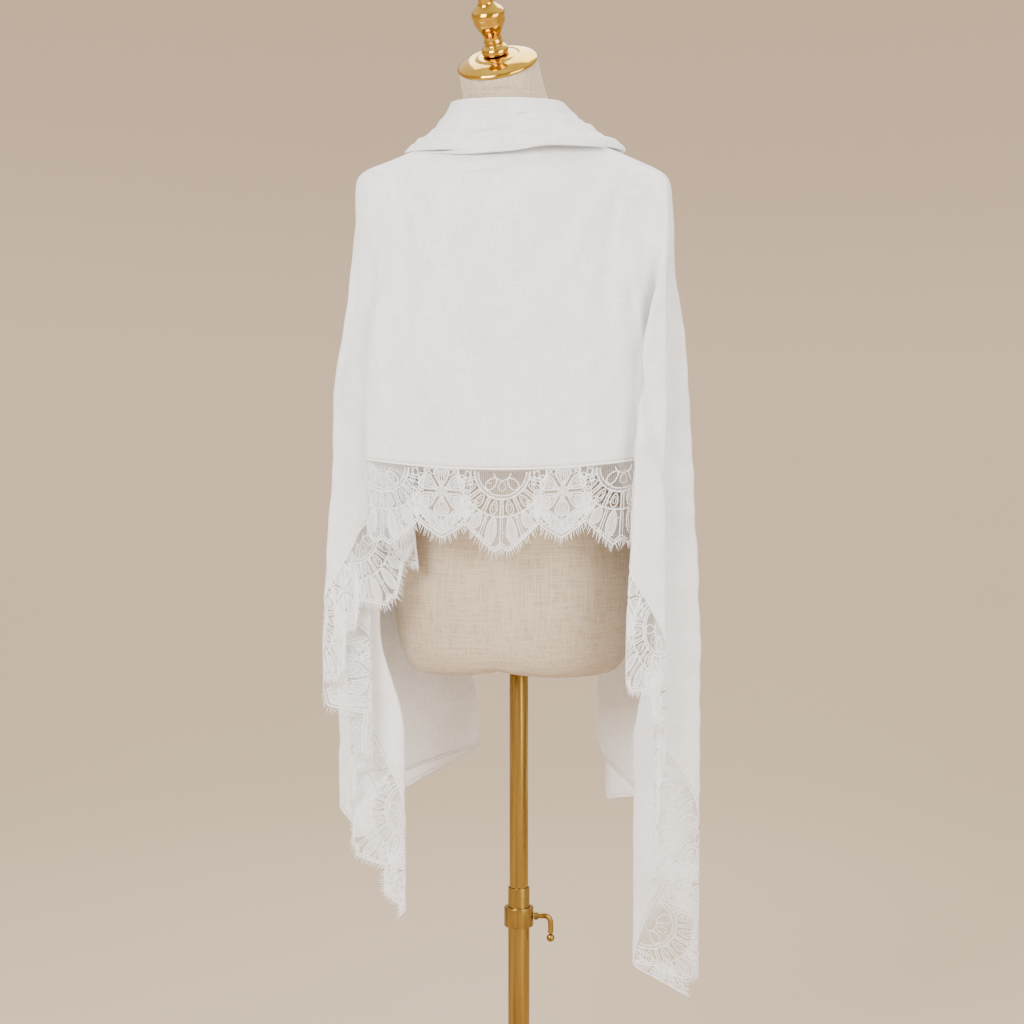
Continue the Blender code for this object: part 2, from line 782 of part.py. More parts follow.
def loft(name, rings, finish):
    """A closed body through rings of points, flat-capped at both ends."""
    count = len(rings[0])
    vertices = [point for ring in rings for point in ring]
    faces = []
    for i in range(len(rings) - 1):
        for j in range(count):
            k = (j + 1) % count
            low = i * count
            high = low + count
            faces.append((low + j, low + k, high + k, high + j))
    faces.append(tuple(reversed(range(count))))
    top = (len(rings) - 1) * count
    faces.append(tuple(range(top, top + count)))
    return add_mesh(name, vertices, faces, finish)


def build_form(finish):
    turns = [2 * math.pi * j / FORM_SIDES for j in range(FORM_SIDES)]
    rings = []
    for index, ring in enumerate(FORM_RINGS):
        row = []
        for turn in turns:
            point = oval_point(NECK_X, 0.0, ring.half_width, ring.front, ring.back, turn, ring.z)
            if 0 < index < LOBE_RINGS:
                side = abs(math.sin(turn - NOTCH_TURN))
                point.z -= LOBE_DROP * side**0.7
            row.append(point)
        rings.append(row)
    for level in SHOULDER_CURVE[:-1]:
        half = SHOULDER_HALF * level.share
        front = SHOULDER_FRONT * level.share
        back = SHOULDER_BACK * level.share
        rings.append([oval_point(NECK_X, 0.0, half, front, back, turn, level.z) for turn in turns])
    for share in (0.0, 0.5, 1.0):
        z = between(NECK_BASE_Z, CAP_CENTRE.z - CAP_FRONT_DROP, share)
        centre = neck_centre(z)
        half = between(NECK_HALF, CAP_RADIUS - CAP_RIM, share**2)
        depth = between(NECK_DEPTH, CAP_RADIUS - CAP_RIM, share**2)
        rings.append([oval_point(*centre, half, depth, depth, turn, z) for turn in turns])
    rings.append([cap_point(CAP_RADIUS - CAP_RIM, -turn, -CAP_GAP) for turn in turns])
    return loft("dress_form", rings, finish)


def cap_frame():
    across = Vector((1.0, 0.0, 0.0))
    side = (across - CAP_AXIS * across.dot(CAP_AXIS)).normalized()
    return side, CAP_AXIS.cross(side)


def cap_point(radius, turn, rise):
    """A point round the cap's axis; turn runs from the front towards the viewer's left."""
    side, back = cap_frame()
    around = side * math.sin(-turn) * radius - back * math.cos(turn) * radius
    return CAP_CENTRE + around + CAP_AXIS * rise


def turned(name, profile, centre, axis, sides, finish):
    """A body turned round an axis from a profile that starts and ends on the axis or closes on itself."""
    helper = Vector((1.0, 0.0, 0.0))
    side = (helper - axis * helper.dot(axis)).normalized()
    back = axis.cross(side)
    solid_ends = profile[0].radius == 0.0
    vertices = []
    starts = []
    for row in profile:
        starts.append(len(vertices))
        if row.radius == 0.0:
            vertices.append(centre + axis * row.rise)
            continue
        for j in range(sides):
            turn = 2 * math.pi * j / sides
            around = side * math.cos(turn) * row.radius + back * math.sin(turn) * row.radius
            vertices.append(centre + around + axis * row.rise)
    faces = []
    pairs = list(range(len(profile) - 1)) + ([] if solid_ends else [len(profile) - 1])
    for i in pairs:
        low = starts[i]
        up = (i + 1) % len(profile)
        high = starts[up]
        for j in range(sides):
            k = (j + 1) % sides
            if profile[i].radius == 0.0:
                faces.append((low, high + k, high + j))
            elif profile[up].radius == 0.0:
                faces.append((low + j, low + k, high))
            else:
                faces.append((low + j, low + k, high + k, high + j))
    return add_mesh(name, vertices, faces, finish)


def build_cap_and_finial(finish):
    turned("neck_cap", CAP_PROFILE, CAP_CENTRE, CAP_AXIS, FORM_SIDES, finish)
    turned("finial", FINIAL_PROFILE, CAP_CENTRE, CAP_AXIS, POLE_SIDES, finish)


def build_stand(satin):
    socket_top = FORM_BOTTOM_Z - SEAM_GAP
    socket_foot = socket_top - SOCKET_HEIGHT
    socket = (
        Turn(0.0, socket_foot),
        Turn(SOCKET_RADIUS - SOCKET_BEVEL, socket_foot),
        Turn(SOCKET_RADIUS, socket_foot + SOCKET_BEVEL),
        Turn(SOCKET_RADIUS, socket_top),
        Turn(0.0, socket_top),
    )
    inner = (
        Turn(0.0, INNER_TUBE_FOOT),
        Turn(INNER_TUBE_RADIUS, INNER_TUBE_FOOT),
        Turn(INNER_TUBE_RADIUS, socket_foot - SEAM_GAP),
        Turn(0.0, socket_foot - SEAM_GAP),
    )
    bore = INNER_TUBE_RADIUS + TUBE_GAP
    boss_top = BASE_THICK + BOSS_HEIGHT
    outer = (
        Turn(bore, boss_top + SEAM_GAP),
        Turn(OUTER_TUBE_RADIUS, boss_top + SEAM_GAP),
        Turn(OUTER_TUBE_RADIUS, OUTER_TUBE_TOP),
        Turn(bore, OUTER_TUBE_TOP),
    )
    base = (
        Turn(0.0, 0.0),
        Turn(BASE_RADIUS, 0.0),
        Turn(BASE_RADIUS, BASE_THICK - BASE_BEVEL),
        Turn(BASE_RADIUS - BASE_BEVEL, BASE_THICK),
        Turn(BOSS_FOOT_RADIUS, BASE_THICK),
        Turn(BOSS_TOP_RADIUS, boss_top),
        Turn(0.0, boss_top),
    )
    turned("pole_socket", socket, ORIGIN, UP, POLE_SIDES, satin)
    turned("inner_tube", inner, ORIGIN, UP, POLE_SIDES, satin)
    turned("outer_tube", outer, ORIGIN, UP, POLE_SIDES, satin)
    turned("base_plate", base, ORIGIN, UP, BASE_SIDES, satin)


def build_clamp(satin):
    inner = OUTER_TUBE_RADIUS + SEAM_GAP
    collar = (
        Turn(inner, COLLAR_LOW_Z),
        Turn(COLLAR_RIM_RADIUS, COLLAR_LOW_Z),
        Turn(COLLAR_RADIUS, COLLAR_LOW_Z + COLLAR_BEVEL),
        Turn(COLLAR_RADIUS, COLLAR_HIGH_Z - COLLAR_BEVEL),
        Turn(COLLAR_RIM_RADIUS, COLLAR_HIGH_Z),
        Turn(inner, COLLAR_HIGH_Z),
    )
    turned("clamp_collar", collar, ORIGIN, UP, POLE_SIDES, satin)
    lever = bpy.data.curves.new("clamp_lever", "CURVE")
    lever.dimensions = "3D"
    lever.bevel_depth = LEVER_ROD_RADIUS
    lever.bevel_resolution = 2
    lever.use_fill_caps = True
    spline = lever.splines.new("POLY")
    spline.points.add(len(LEVER_ROUTE) - 1)
    for point, place in zip(spline.points, LEVER_ROUTE):
        point.co = (place.x, 0.0, place.z, 1.0)
        point.radius = place.width
    obj = bpy.data.objects.new("clamp_lever", lever)
    bpy.context.scene.collection.objects.link(obj)
    lever.materials.append(satin)


def build_shawl(cloth, lace):
    build_cowl(cloth)
    build_panel(cloth)
    left = (panel_column(0.0),) + LEFT_FOLDS
    right = (panel_column(1.0),) + RIGHT_FOLDS
    build_fall("left_fall", left, LEFT_REACH, cloth)
    build_fall("right_fall", right, RIGHT_REACH, cloth)

    panel_s = [between(PANEL_LEFT_S, PANEL_RIGHT_S, share) for share in panel_shares()]
    columns = [LaceColumn(s, s, scallop(s), False, False) for s in panel_s]
    build_lace("front_lace", columns, SEAM_GAP / 2, panel_surface, lace)
    build_fringe("front_fringe", columns, panel_surface, lace)
    for side_name, folds, reach, start, side in (
        ("left", left, LEFT_REACH, PANEL_LEFT_S, -1),
        ("right", right, RIGHT_REACH, PANEL_RIGHT_S, 1),
    ):
        columns = lace_columns(folds, reach, start, side)
        surface = fall_surface(folds, start, side)
        build_lace(side_name + "_lace", columns, JOIN_GAP / 2, surface, lace)
        for number, (near, far) in enumerate(zip(folds[1:], folds[2:])):
            if number in FRINGED_STROKES[side_name]:
                feet = fringe_columns(near, far, reach, start, side)
                build_fringe(side_name + "_fringe_" + str(number), feet, surface, lace)


def main():
    clear_scene()
    cloth = material("white_voile", WHITE_CLOTH, 0.8, 0.0)
    lace = material("lace_thread", LACE_THREAD, 0.7, 0.0)
    linen = material("linen_cover", LINEN, 0.9, 0.0)
    polished = material("polished_brass", POLISHED_BRASS, 0.15, 1.0)
    satin = material("satin_brass", SATIN_BRASS, 0.35, 1.0)
    build_shawl(cloth, lace)
    build_form(linen)
    build_cap_and_finial(polished)
    build_stand(satin)
    build_clamp(satin)


main()
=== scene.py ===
"""The looks of a sheer white shawl with a floral lace edge, on a linen dress form and a brass stand.

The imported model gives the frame. The shawl's cloth, lace, fringe and hems are laid on one smooth map
of the drape, which takes a place in the flat cloth, s along it and w below the lace join, to space.
"""

import math
import random
from collections import namedtuple

import bpy
import numpy as np
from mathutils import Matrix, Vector
from mathutils.geometry import delaunay_2d_cdt


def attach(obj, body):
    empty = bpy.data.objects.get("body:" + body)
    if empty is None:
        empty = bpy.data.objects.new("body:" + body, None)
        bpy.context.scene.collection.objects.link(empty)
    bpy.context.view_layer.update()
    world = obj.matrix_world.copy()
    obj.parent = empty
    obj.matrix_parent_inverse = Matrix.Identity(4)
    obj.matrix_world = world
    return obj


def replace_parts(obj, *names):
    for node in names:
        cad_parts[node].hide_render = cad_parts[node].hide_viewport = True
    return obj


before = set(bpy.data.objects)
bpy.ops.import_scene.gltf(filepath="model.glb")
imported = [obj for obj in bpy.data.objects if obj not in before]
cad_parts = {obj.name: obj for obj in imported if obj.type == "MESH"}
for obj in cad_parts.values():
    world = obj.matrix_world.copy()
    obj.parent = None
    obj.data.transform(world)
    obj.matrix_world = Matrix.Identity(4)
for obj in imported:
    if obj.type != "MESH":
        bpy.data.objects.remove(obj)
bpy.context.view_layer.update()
random.seed(11)

# The cut of the shawl, in metres
JOIN_DROP = 0.370
JOIN_SAG = 0.010
PLAIN_DROP = 0.340
LEFT_REACH = 0.857
RIGHT_REACH = 0.962
PANEL_LEFT_S = -0.173
PANEL_RIGHT_S = 0.165
APEX_Z = 1.334
SHOULDER_Z = 1.310
CLOTH_TOP_Z = 1.363
HIP_Z = 0.750
END_Z = 0.600
NECK_X = -0.005
LOWEST_Z = 0.190
PANEL_TOP = (-0.200, 0.166)
PANEL_HIP = (-0.190, 0.134)

# Lace repeat
REPEAT = 0.152
VALLEY = 0.069
VALLEY_SHARE = 0.30
MEDALLION_DEPTH = 0.104
FLOWER_TIP = 0.089
TIP_OFFSET = 0.055
TIP_SLOPE = 0.85
TIP_NOTCH = 0.007

# The smooth drape map
STROKE_SAMPLES = 16
PANEL_SAMPLES = 64
TOP_FOLD_RADIUS = 0.0035
HIP_FOLD_RADIUS = 0.0050
FOLD_SHARE = 0.15
FOLD_LIMIT = 0.42
LEVEL_STEP = 0.004
ACROSS_PASSES = 12
DOWN_PASSES = 14
SMOOTHING = (0.50, -0.53)
CALM_PASSES = 600
CALM_FROM_Z = 1.08
CALM_OVER = 0.17
CALM_SPREAD = 1.035

SHOULDER_HEIGHTS = (1.310, 1.323, 1.331, 1.340, 1.352, 1.362, 1.372)
SHOULDER_SHARES = (1.000, 0.966, 0.885, 0.780, 0.652, 0.520, 0.400)

Fold = namedtuple("Fold", "ray x_top y_top x_hip y_hip x_end slack")
LEFT_FOLDS = (
    Fold(66.0, -0.186, -0.050, -0.120, -0.109, -0.120, 0.000),
    Fold(51.0, -0.203, -0.043, -0.209, -0.100, -0.209, 0.000),
    Fold(42.6, -0.207, -0.034, -0.250, -0.090, -0.250, 0.000),
    Fold(38.0, -0.191, -0.026, -0.188, -0.079, -0.186, 0.000),
    Fold(33.7, -0.205, -0.018, -0.222, -0.068, -0.218, 0.000),
    Fold(26.4, -0.190, -0.006, -0.178, -0.055, -0.147, 0.000),
    Fold(8.0, -0.207, 0.012, -0.242, 0.010, -0.236, 0.030),
    Fold(-4.0, -0.170, 0.056, -0.080, 0.146, -0.056, 0.085),
    Fold(-21.6, -0.198, 0.068, -0.226, 0.164, -0.222, 0.010),
    Fold(-60.0, -0.140, 0.084, -0.120, 0.176, -0.120, 0.000),
    Fold(-80.0, -0.100, 0.090, -0.085, 0.182, -0.085, 0.000),
)
RIGHT_FOLDS = (
    Fold(60.0, 0.186, -0.038, 0.205, -0.088, 0.205, 0.000),
    Fold(47.6, 0.168, -0.082, 0.132, -0.160, 0.132, 0.000),
    Fold(38.1, 0.186, -0.073, 0.184, -0.149, 0.184, 0.000),
    Fold(31.4, 0.180, -0.062, 0.168, -0.137, 0.168, 0.000),
    Fold(26.7, 0.196, -0.034, 0.230, -0.098, 0.230, 0.000),
    Fold(21.0, 0.180, -0.004, 0.176, -0.052, 0.148, 0.000),
    Fold(8.0, 0.196, 0.012, 0.232, 0.010, 0.228, 0.060),
    Fold(-3.0, 0.165, 0.056, 0.112, 0.144, 0.108, 0.190),
    Fold(-10.0, 0.188, 0.064, 0.214, 0.154, 0.212, 0.120),
    Fold(-19.5, 0.158, 0.074, 0.130, 0.166, 0.122, 0.160),
    Fold(-60.0, 0.140, 0.086, 0.120, 0.176, 0.120, 0.000),
    Fold(-80.0, 0.100, 0.092, 0.085, 0.182, 0.085, 0.000),
)

CREASE_SCALE = 1.5
CREASE_BEND = 0.15
CREASE_FADE_IN = 0.25
CREASE_FADE_OUT = 0.35
SWAY = 0.0010
CRUMPLE = 0.0007
Crease = namedtuple("Crease", "s0 w0 s1 w1 depth width")
# Soft troughs, below 0, and ridges in the flat cloth, as the cloth shows them
CREASES = (
    Crease(-0.090, -0.370, 0.006, -0.377, -0.0034, 0.0060),
    Crease(-0.100, -0.361, 0.010, -0.366, 0.0026, 0.0060),
    Crease(-0.045, -0.377, 0.004, -0.394, 0.0030, 0.0050),
    Crease(-0.520, -0.440, -1.150, -0.556, 0.0050, 0.0120),
    Crease(-0.520, -0.462, -1.150, -0.622, -0.0050, 0.0120),
    Crease(-0.520, -0.484, -1.150, -0.690, 0.0050, 0.0120),
    Crease(0.520, -0.440, 1.250, -0.560, -0.0045, 0.0130),
    Crease(0.520, -0.470, 1.250, -0.640, 0.0045, 0.0130),
    Crease(-0.012, -0.030, -0.010, -0.002, 0.0022, 0.0040),
    Crease(-0.150, -0.340, -0.115, -0.120, -0.0026, 0.0110),
    Crease(-0.128, -0.330, -0.060, -0.180, 0.0020, 0.0130),
    Crease(0.150, -0.345, 0.118, -0.190, -0.0030, 0.0110),
    Crease(0.120, -0.338, 0.060, -0.235, 0.0020, 0.0130),
    Crease(0.158, -0.250, 0.130, -0.080, 0.0026, 0.0100),
    Crease(-0.165, -0.200, -0.150, -0.020, 0.0022, 0.0090),
    Crease(-0.070, -0.150, 0.080, -0.158, -0.0016, 0.0200),
    Crease(-0.030, -0.240, 0.110, -0.225, 0.0014, 0.0180),
    Crease(0.030, -0.110, 0.036, -0.012, 0.0012, 0.0080),
    Crease(-0.095, -0.100, -0.100, -0.010, -0.0014, 0.0090),
    Crease(0.290, -0.200, 0.560, -0.090, -0.0030, 0.0140),
    Crease(0.350, -0.290, 0.800, -0.270, 0.0028, 0.0160),
    Crease(0.300, -0.380, 0.720, -0.420, -0.0028, 0.0180),
    Crease(0.330, -0.480, 0.640, -0.620, 0.0026, 0.0170),
    Crease(-0.300, -0.210, -0.560, -0.110, 0.0028, 0.0140),
    Crease(-0.340, -0.300, -0.800, -0.290, -0.0026, 0.0150),
    Crease(-0.310, -0.400, -0.700, -0.470, 0.0030, 0.0180),
    Crease(-0.320, -0.500, -0.600, -0.640, -0.0028, 0.0170),
)


def between(a, b, share):
    return a + (b - a) * share


def smooth_step(share):
    share = np.clip(share, 0.0, 1.0)
    return share * share * (3.0 - 2.0 * share)


def turned_over(start, end, share, lead, trail):
    """A stroke between two folds, with its ends given to the folds' own turns."""
    if share < FOLD_SHARE:
        return start + lead * share / FOLD_SHARE
    if share > 1.0 - FOLD_SHARE:
        return end - trail * (1.0 - share) / FOLD_SHARE
    return between(start + lead, end - trail, (share - FOLD_SHARE) / (1.0 - 2.0 * FOLD_SHARE))


def swung(start, end, share, radius):
    turn = math.copysign(min(radius, FOLD_LIMIT * abs(end - start)), end - start)
    return turned_over(start, end, share, turn, turn)


def stepped(start, end, share, radius, ways):
    if ways[0] * (end - start) > 0 and ways[1] * (end - start) > 0:
        radius = min(radius, FOLD_LIMIT * abs(end - start))
    return turned_over(start, end, share, ways[0] * radius, ways[1] * radius)


def fold_way(folds, index):
    """Which way a fold turns over in depth: towards the back, the front, or neither."""
    before = folds[max(index - 1, 0)]
    after = folds[min(index + 1, len(folds) - 1)]
    if index == 0 and before.x_hip > 0:
        return 0
    return 1 if after.y_hip > before.y_hip else -1


def panel_column(share):
    """A column of the front, bowed out a little at its middle."""
    x_top = between(PANEL_TOP[0], PANEL_TOP[1], share)
    x_hip = between(PANEL_HIP[0], PANEL_HIP[1], share)
    y_top = -0.110 + 0.050 * ((x_top + 0.009) / 0.191) ** 2
    y_hip = -0.165 + 0.040 * ((x_hip + 0.010) / 0.180) ** 2
    return Fold(90.0, x_top, y_top, x_hip, y_hip, x_hip, 0.0)


def stroke_columns(folds):
    """Columns through every stroke of a fall, from the panel to the back edge."""
    columns = []
    for index, (near, far) in enumerate(zip(folds, folds[1:])):
        ways = (fold_way(folds, index), fold_way(folds, index + 1))
        for sample in range(STROKE_SAMPLES):
            share = sample / STROKE_SAMPLES
            columns.append(
                Fold(
                    between(near.ray, far.ray, share),
                    swung(near.x_top, far.x_top, share, TOP_FOLD_RADIUS),
                    stepped(near.y_top, far.y_top, share, TOP_FOLD_RADIUS, ways),
                    swung(near.x_hip, far.x_hip, share, HIP_FOLD_RADIUS),
                    stepped(near.y_hip, far.y_hip, share, HIP_FOLD_RADIUS, ways),
                    swung(near.x_end, far.x_end, share, HIP_FOLD_RADIUS),
                    between(near.slack, far.slack, share),
                )
            )
    columns.append(folds[-1])
    return columns


def hang(columns, heights):
    """Places of all columns at all heights, as an array of rows."""
    names = Fold._fields
    held = {name: np.array([getattr(column, name) for column in columns]) for name in names}
    rows = []
    for z in heights:
        if z > SHOULDER_Z:
            share = float(np.interp(z, SHOULDER_HEIGHTS, SHOULDER_SHARES))
            x = NECK_X + (held["x_top"] - NECK_X) * share
            y = held["y_top"] * share
        else:
            down = min((SHOULDER_Z - z) / (SHOULDER_Z - HIP_Z), 1.0)
            x = between(held["x_top"], held["x_hip"], down**0.75)
            y = between(held["y_top"], held["y_hip"], down**0.5)
            if z < HIP_Z:
                under = float(smooth_step((HIP_Z - z) / (HIP_Z - END_Z)))
                x = between(held["x_hip"], held["x_end"], under)
        rows.append(np.stack([x, y, np.full_like(x, z)], axis=1))
    return np.array(rows)


def smoothed(grid, passes, axis):
    """Corners rounded along one axis, with the folds' depth kept by a step out after each step in."""
    for share in SMOOTHING * passes:
        moved = np.moveaxis(grid, axis, 0).copy()
        middle = (moved[:-2] + moved[2:]) / 2.0
        moved[1:-1] += share * (middle - moved[1:-1])
        grid = np.moveaxis(moved, 0, axis)
    return grid


class Drape:
    """The smooth drape: a table of places over columns, from the left back edge to the right one."""

    def __init__(self):
        left = stroke_columns((panel_column(0.0),) + LEFT_FOLDS)
        right = stroke_columns((panel_column(1.0),) + RIGHT_FOLDS)
        panel = [panel_column(i / PANEL_SAMPLES) for i in range(1, PANEL_SAMPLES)]
        columns = left[::-1] + panel + right
        self.panel_start = len(left) - 1
        self.panel_end = self.panel_start + PANEL_SAMPLES
        self.left_rays = np.array([column.ray for column in left])
        self.right_rays = np.array([column.ray for column in right])
        self.slacks = np.array([column.slack for column in columns])
        self.heights = np.arange(CLOTH_TOP_Z, LOWEST_Z, -LEVEL_STEP)
        table = hang(columns, self.heights)
        flat_z = table[:, :, 2].copy()
        table = smoothed(table, ACROSS_PASSES, 1)
        table = smoothed(table, DOWN_PASSES, 0)
        calm = table.copy()
        for _ in range(CALM_PASSES):
            calm[:, 1:-1] = (calm[:, :-2] + 2.0 * calm[:, 1:-1] + calm[:, 2:]) / 4.0
        calm[:, :, 0] = NECK_X + (calm[:, :, 0] - NECK_X) * CALM_SPREAD
        share = smooth_step((self.heights - CALM_FROM_Z) / CALM_OVER)[:, None, None]
        table = between(table, calm, share)
        table[:, :, 2] = flat_z
        self.table = table
        across = np.gradient(table, axis=1)
        down = np.gradient(table, axis=0)
        normals = np.cross(down, across)
        normals /= np.linalg.norm(normals, axis=2, keepdims=True)
        self.normals = normals

    def column_of(self, s, w):
        """Column number and height of places in the flat cloth."""
        share = (s - PANEL_LEFT_S) / (PANEL_RIGHT_S - PANEL_LEFT_S)
        column = self.panel_start + share * PANEL_SAMPLES
        z = join_z(share) - w
        below = JOIN_DROP + w
        falls = ((-1, PANEL_LEFT_S, self.left_rays), (1, PANEL_RIGHT_S, self.right_rays))
        for side, start_s, rays in falls:
            along = (s - start_s) * side
            ray = np.degrees(np.arctan2(below, np.maximum(along, 1e-6)))
            number = np.interp(-ray, -rays, np.arange(len(rays)))
            place = self.panel_start - number if side < 0 else self.panel_end + number
            slack = np.interp(place, np.arange(len(self.slacks)), self.slacks)
            height = APEX_Z - np.hypot(along, below) + slack
            beyond = along > 0.0
            column = np.where(beyond, place, column)
            z = np.where(beyond, height, z)
        return column, z

    def at(self, column, z):
        """Places and outward normals at column numbers and heights."""
        row = np.clip((self.heights[0] - z) / LEVEL_STEP, 0.0, len(self.heights) - 1.001)
        column = np.clip(column, 0.0, self.table.shape[1] - 1.001)
        i = row.astype(int)
        j = column.astype(int)
        down = (row - i)[:, None]
        across = (column - j)[:, None]
        found = []
        for grid in (self.table, self.normals):
            high = grid[i, j] * (1.0 - across) + grid[i, j + 1] * across
            low = grid[i + 1, j] * (1.0 - across) + grid[i + 1, j + 1] * across
            found.append(high * (1.0 - down) + low * down)
        places, normals = found
        places[:, 2] = z
        return places, normals / np.linalg.norm(normals, axis=1, keepdims=True)

    def flat(self, s, w):
        """Places and outward normals of places in the flat cloth, creases included."""
        s = np.asarray(s, dtype=float)
        w = np.asarray(w, dtype=float)
        column, z = self.column_of(s, w)
        places, normals = self.at(column, z)
        return places + normals * crease_depth(s, w)[:, None], normals


def join_z(share):
    """Height of the lace join over the front, which sags at its middle."""
    return APEX_Z - JOIN_DROP - JOIN_SAG * (1.0 - (2.0 * share - 1.0) ** 2)


def crease_depth(s, w):
    """How far the cloth stands out at places in the flat cloth."""
    depth = SWAY * np.sin(s * 61.0 + 1.3 * np.sin(w * 9.0)) * np.sin(w * 17.0 + 0.7)
    depth = depth + CRUMPLE * np.sin(s * 143.0 + w * 31.0) * np.sin(w * 41.0 - s * 23.0)
    for crease in CREASES:
        ds = crease.s1 - crease.s0
        dw = crease.w1 - crease.w0
        length = math.hypot(ds, dw)
        along = ((s - crease.s0) * ds + (w - crease.w0) * dw) / length**2
        bend = CREASE_BEND * crease.width * np.sin(along * 7.0)
        off = ((w - crease.w0) * ds - (s - crease.s0) * dw) / length - bend
        reach = smooth_step(along / CREASE_FADE_IN) * smooth_step((1.0 - along) / CREASE_FADE_OUT)
        depth = depth + CREASE_SCALE * crease.depth * reach * np.exp(-((off / crease.width) ** 2))
    return depth * smooth_step((w + 0.700) / 0.040) * smooth_step((0.02 - w) / 0.03)


def scallop(s):
    """Depth of the lace along it: a medallion's double tip, then a flower's single tip."""
    s = np.asarray(s, dtype=float)
    place = np.abs(((s / REPEAT + 0.5) % 1.0) - 0.5)
    slope = np.clip((VALLEY_SHARE - place) / (VALLEY_SHARE - TIP_OFFSET), 0.0, 1.0) ** TIP_SLOPE
    notch = TIP_NOTCH * np.clip(1.0 - place / TIP_OFFSET, 0.0, 1.0)
    medallion = between(VALLEY, MEDALLION_DEPTH, slope) - notch
    slope = np.clip((place - VALLEY_SHARE) / (0.5 - VALLEY_SHARE), 0.0, 1.0) ** TIP_SLOPE
    return np.where(place < VALLEY_SHARE, medallion, between(VALLEY, FLOWER_TIP, slope))


drape = Drape()


# Materials


def tree_of(name):
    made = bpy.data.materials.new(name)
    made.use_nodes = True
    return made, made.node_tree, made.node_tree.nodes["Principled BSDF"]


def node(tree, kind, inputs=(), **settings):
    """A node with its settings; inputs pairs a socket with a value or with another node's output."""
    made = tree.nodes.new(kind)
    for name, value in settings.items():
        setattr(made, name, value)
    for socket, value in inputs:
        join(tree, made.inputs[socket], value)
    return made


def join(tree, socket, value):
    if isinstance(value, bpy.types.NodeSocket):
        tree.links.new(value, socket)
    else:
        socket.default_value = value


def ramp(tree, fac, low, high, start=0.0, end=1.0):
    made = node(tree, "ShaderNodeValToRGB", [("Fac", fac)])
    made.color_ramp.elements[0].position = start
    made.color_ramp.elements[0].color = low
    made.color_ramp.elements[1].position = end
    made.color_ramp.elements[1].color = high
    return made.outputs["Color"]


def stretched_noise(tree, source, scale, detail=3.0):
    """Noise on coordinates scaled by three numbers, so that it runs in streaks."""
    mapping = node(tree, "ShaderNodeMapping", [("Vector", source), ("Scale", scale)])
    noise = node(
        tree,
        "ShaderNodeTexNoise",
        [("Vector", mapping.outputs["Vector"]), ("Scale", 1.0), ("Detail", detail), ("Roughness", 0.6)],
    )
    return noise.outputs["Fac"]


def mixed(tree, kind, a, b, factor=1.0):
    made = node(tree, "ShaderNodeMath", operation=kind)
    join(tree, made.inputs[0], a)
    join(tree, made.inputs[1], b)
    if factor != 1.0:
        scaled = node(tree, "ShaderNodeMath", operation="MULTIPLY")
        join(tree, scaled.inputs[0], made.outputs[0])
        scaled.inputs[1].default_value = factor
        return scaled.outputs[0]
    return made.outputs[0]


def bumped(tree, shader, height, strength, distance):
    bump = node(tree, "ShaderNodeBump", [("Height", height), ("Strength", strength), ("Distance", distance)])
    tree.links.new(bump.outputs["Normal"], shader.inputs["Normal"])


def voile_material():
    made, tree, shader = tree_of("white_voile")
    flat = node(tree, "ShaderNodeUVMap", uv_map="cloth").outputs["UV"]
    weft = stretched_noise(tree, flat, (45.0, 900.0, 1.0))
    warp = stretched_noise(tree, flat, (800.0, 38.0, 1.0))
    clouds = stretched_noise(tree, flat, (14.0, 10.0, 1.0))
    weave = mixed(tree, "ADD", weft, warp, 0.5)
    tone = ramp(tree, weave, (0.86, 0.845, 0.85, 1.0), (1.0, 0.985, 0.985, 1.0), 0.32, 0.60)
    tree.links.new(tone, shader.inputs["Base Color"])
    open_weave = mixed(tree, "ADD", weave, clouds, 0.5)
    cover = node(tree, "ShaderNodeMapRange", [("Value", open_weave), ("From Min", 0.35), ("From Max", 0.60)])
    cover.inputs["To Min"].default_value = 0.66
    cover.inputs["To Max"].default_value = 0.88
    tree.links.new(cover.outputs["Result"], shader.inputs["Alpha"])
    shader.inputs["Roughness"].default_value = 0.75
    shader.inputs["Sheen Weight"].default_value = 0.35
    shader.inputs["Sheen Roughness"].default_value = 0.45
    shader.inputs["Specular IOR Level"].default_value = 0.25
    bumped(tree, shader, weave, 0.25, 0.0006)
    return made


def lace_material(name, thread_half, scale):
    """Cotton lace: solid thread, or with a thread's half width in meshes, net of scale meshes a metre."""
    made, tree, shader = tree_of(name)
    flat = node(tree, "ShaderNodeUVMap", uv_map="cloth").outputs["UV"]
    twist = stretched_noise(tree, flat, (1400.0, 1400.0, 1.0), 2.0)
    tone = ramp(tree, twist, (0.86, 0.85, 0.86, 1.0), (0.99, 0.985, 0.99, 1.0), 0.3, 0.7)
    tree.links.new(tone, shader.inputs["Base Color"])
    shader.inputs["Roughness"].default_value = 0.65
    shader.inputs["Sheen Weight"].default_value = 0.2
    shader.inputs["Specular IOR Level"].default_value = 0.3
    if scale > 0.0:
        cells = node(
            tree,
            "ShaderNodeTexVoronoi",
            [("Vector", flat), ("Scale", scale), ("Randomness", 0.35)],
            feature="DISTANCE_TO_EDGE",
        )
        thread = node(tree, "ShaderNodeMapRange", [("Value", cells.outputs["Distance"])])
        thread.inputs["From Min"].default_value = thread_half * 0.7
        thread.inputs["From Max"].default_value = thread_half * 1.3
        thread.inputs["To Min"].default_value = 1.0
        thread.inputs["To Max"].default_value = 0.0
        tree.links.new(thread.outputs["Result"], shader.inputs["Alpha"])
    bumped(tree, shader, twist, 0.3, 0.0003)
    return made


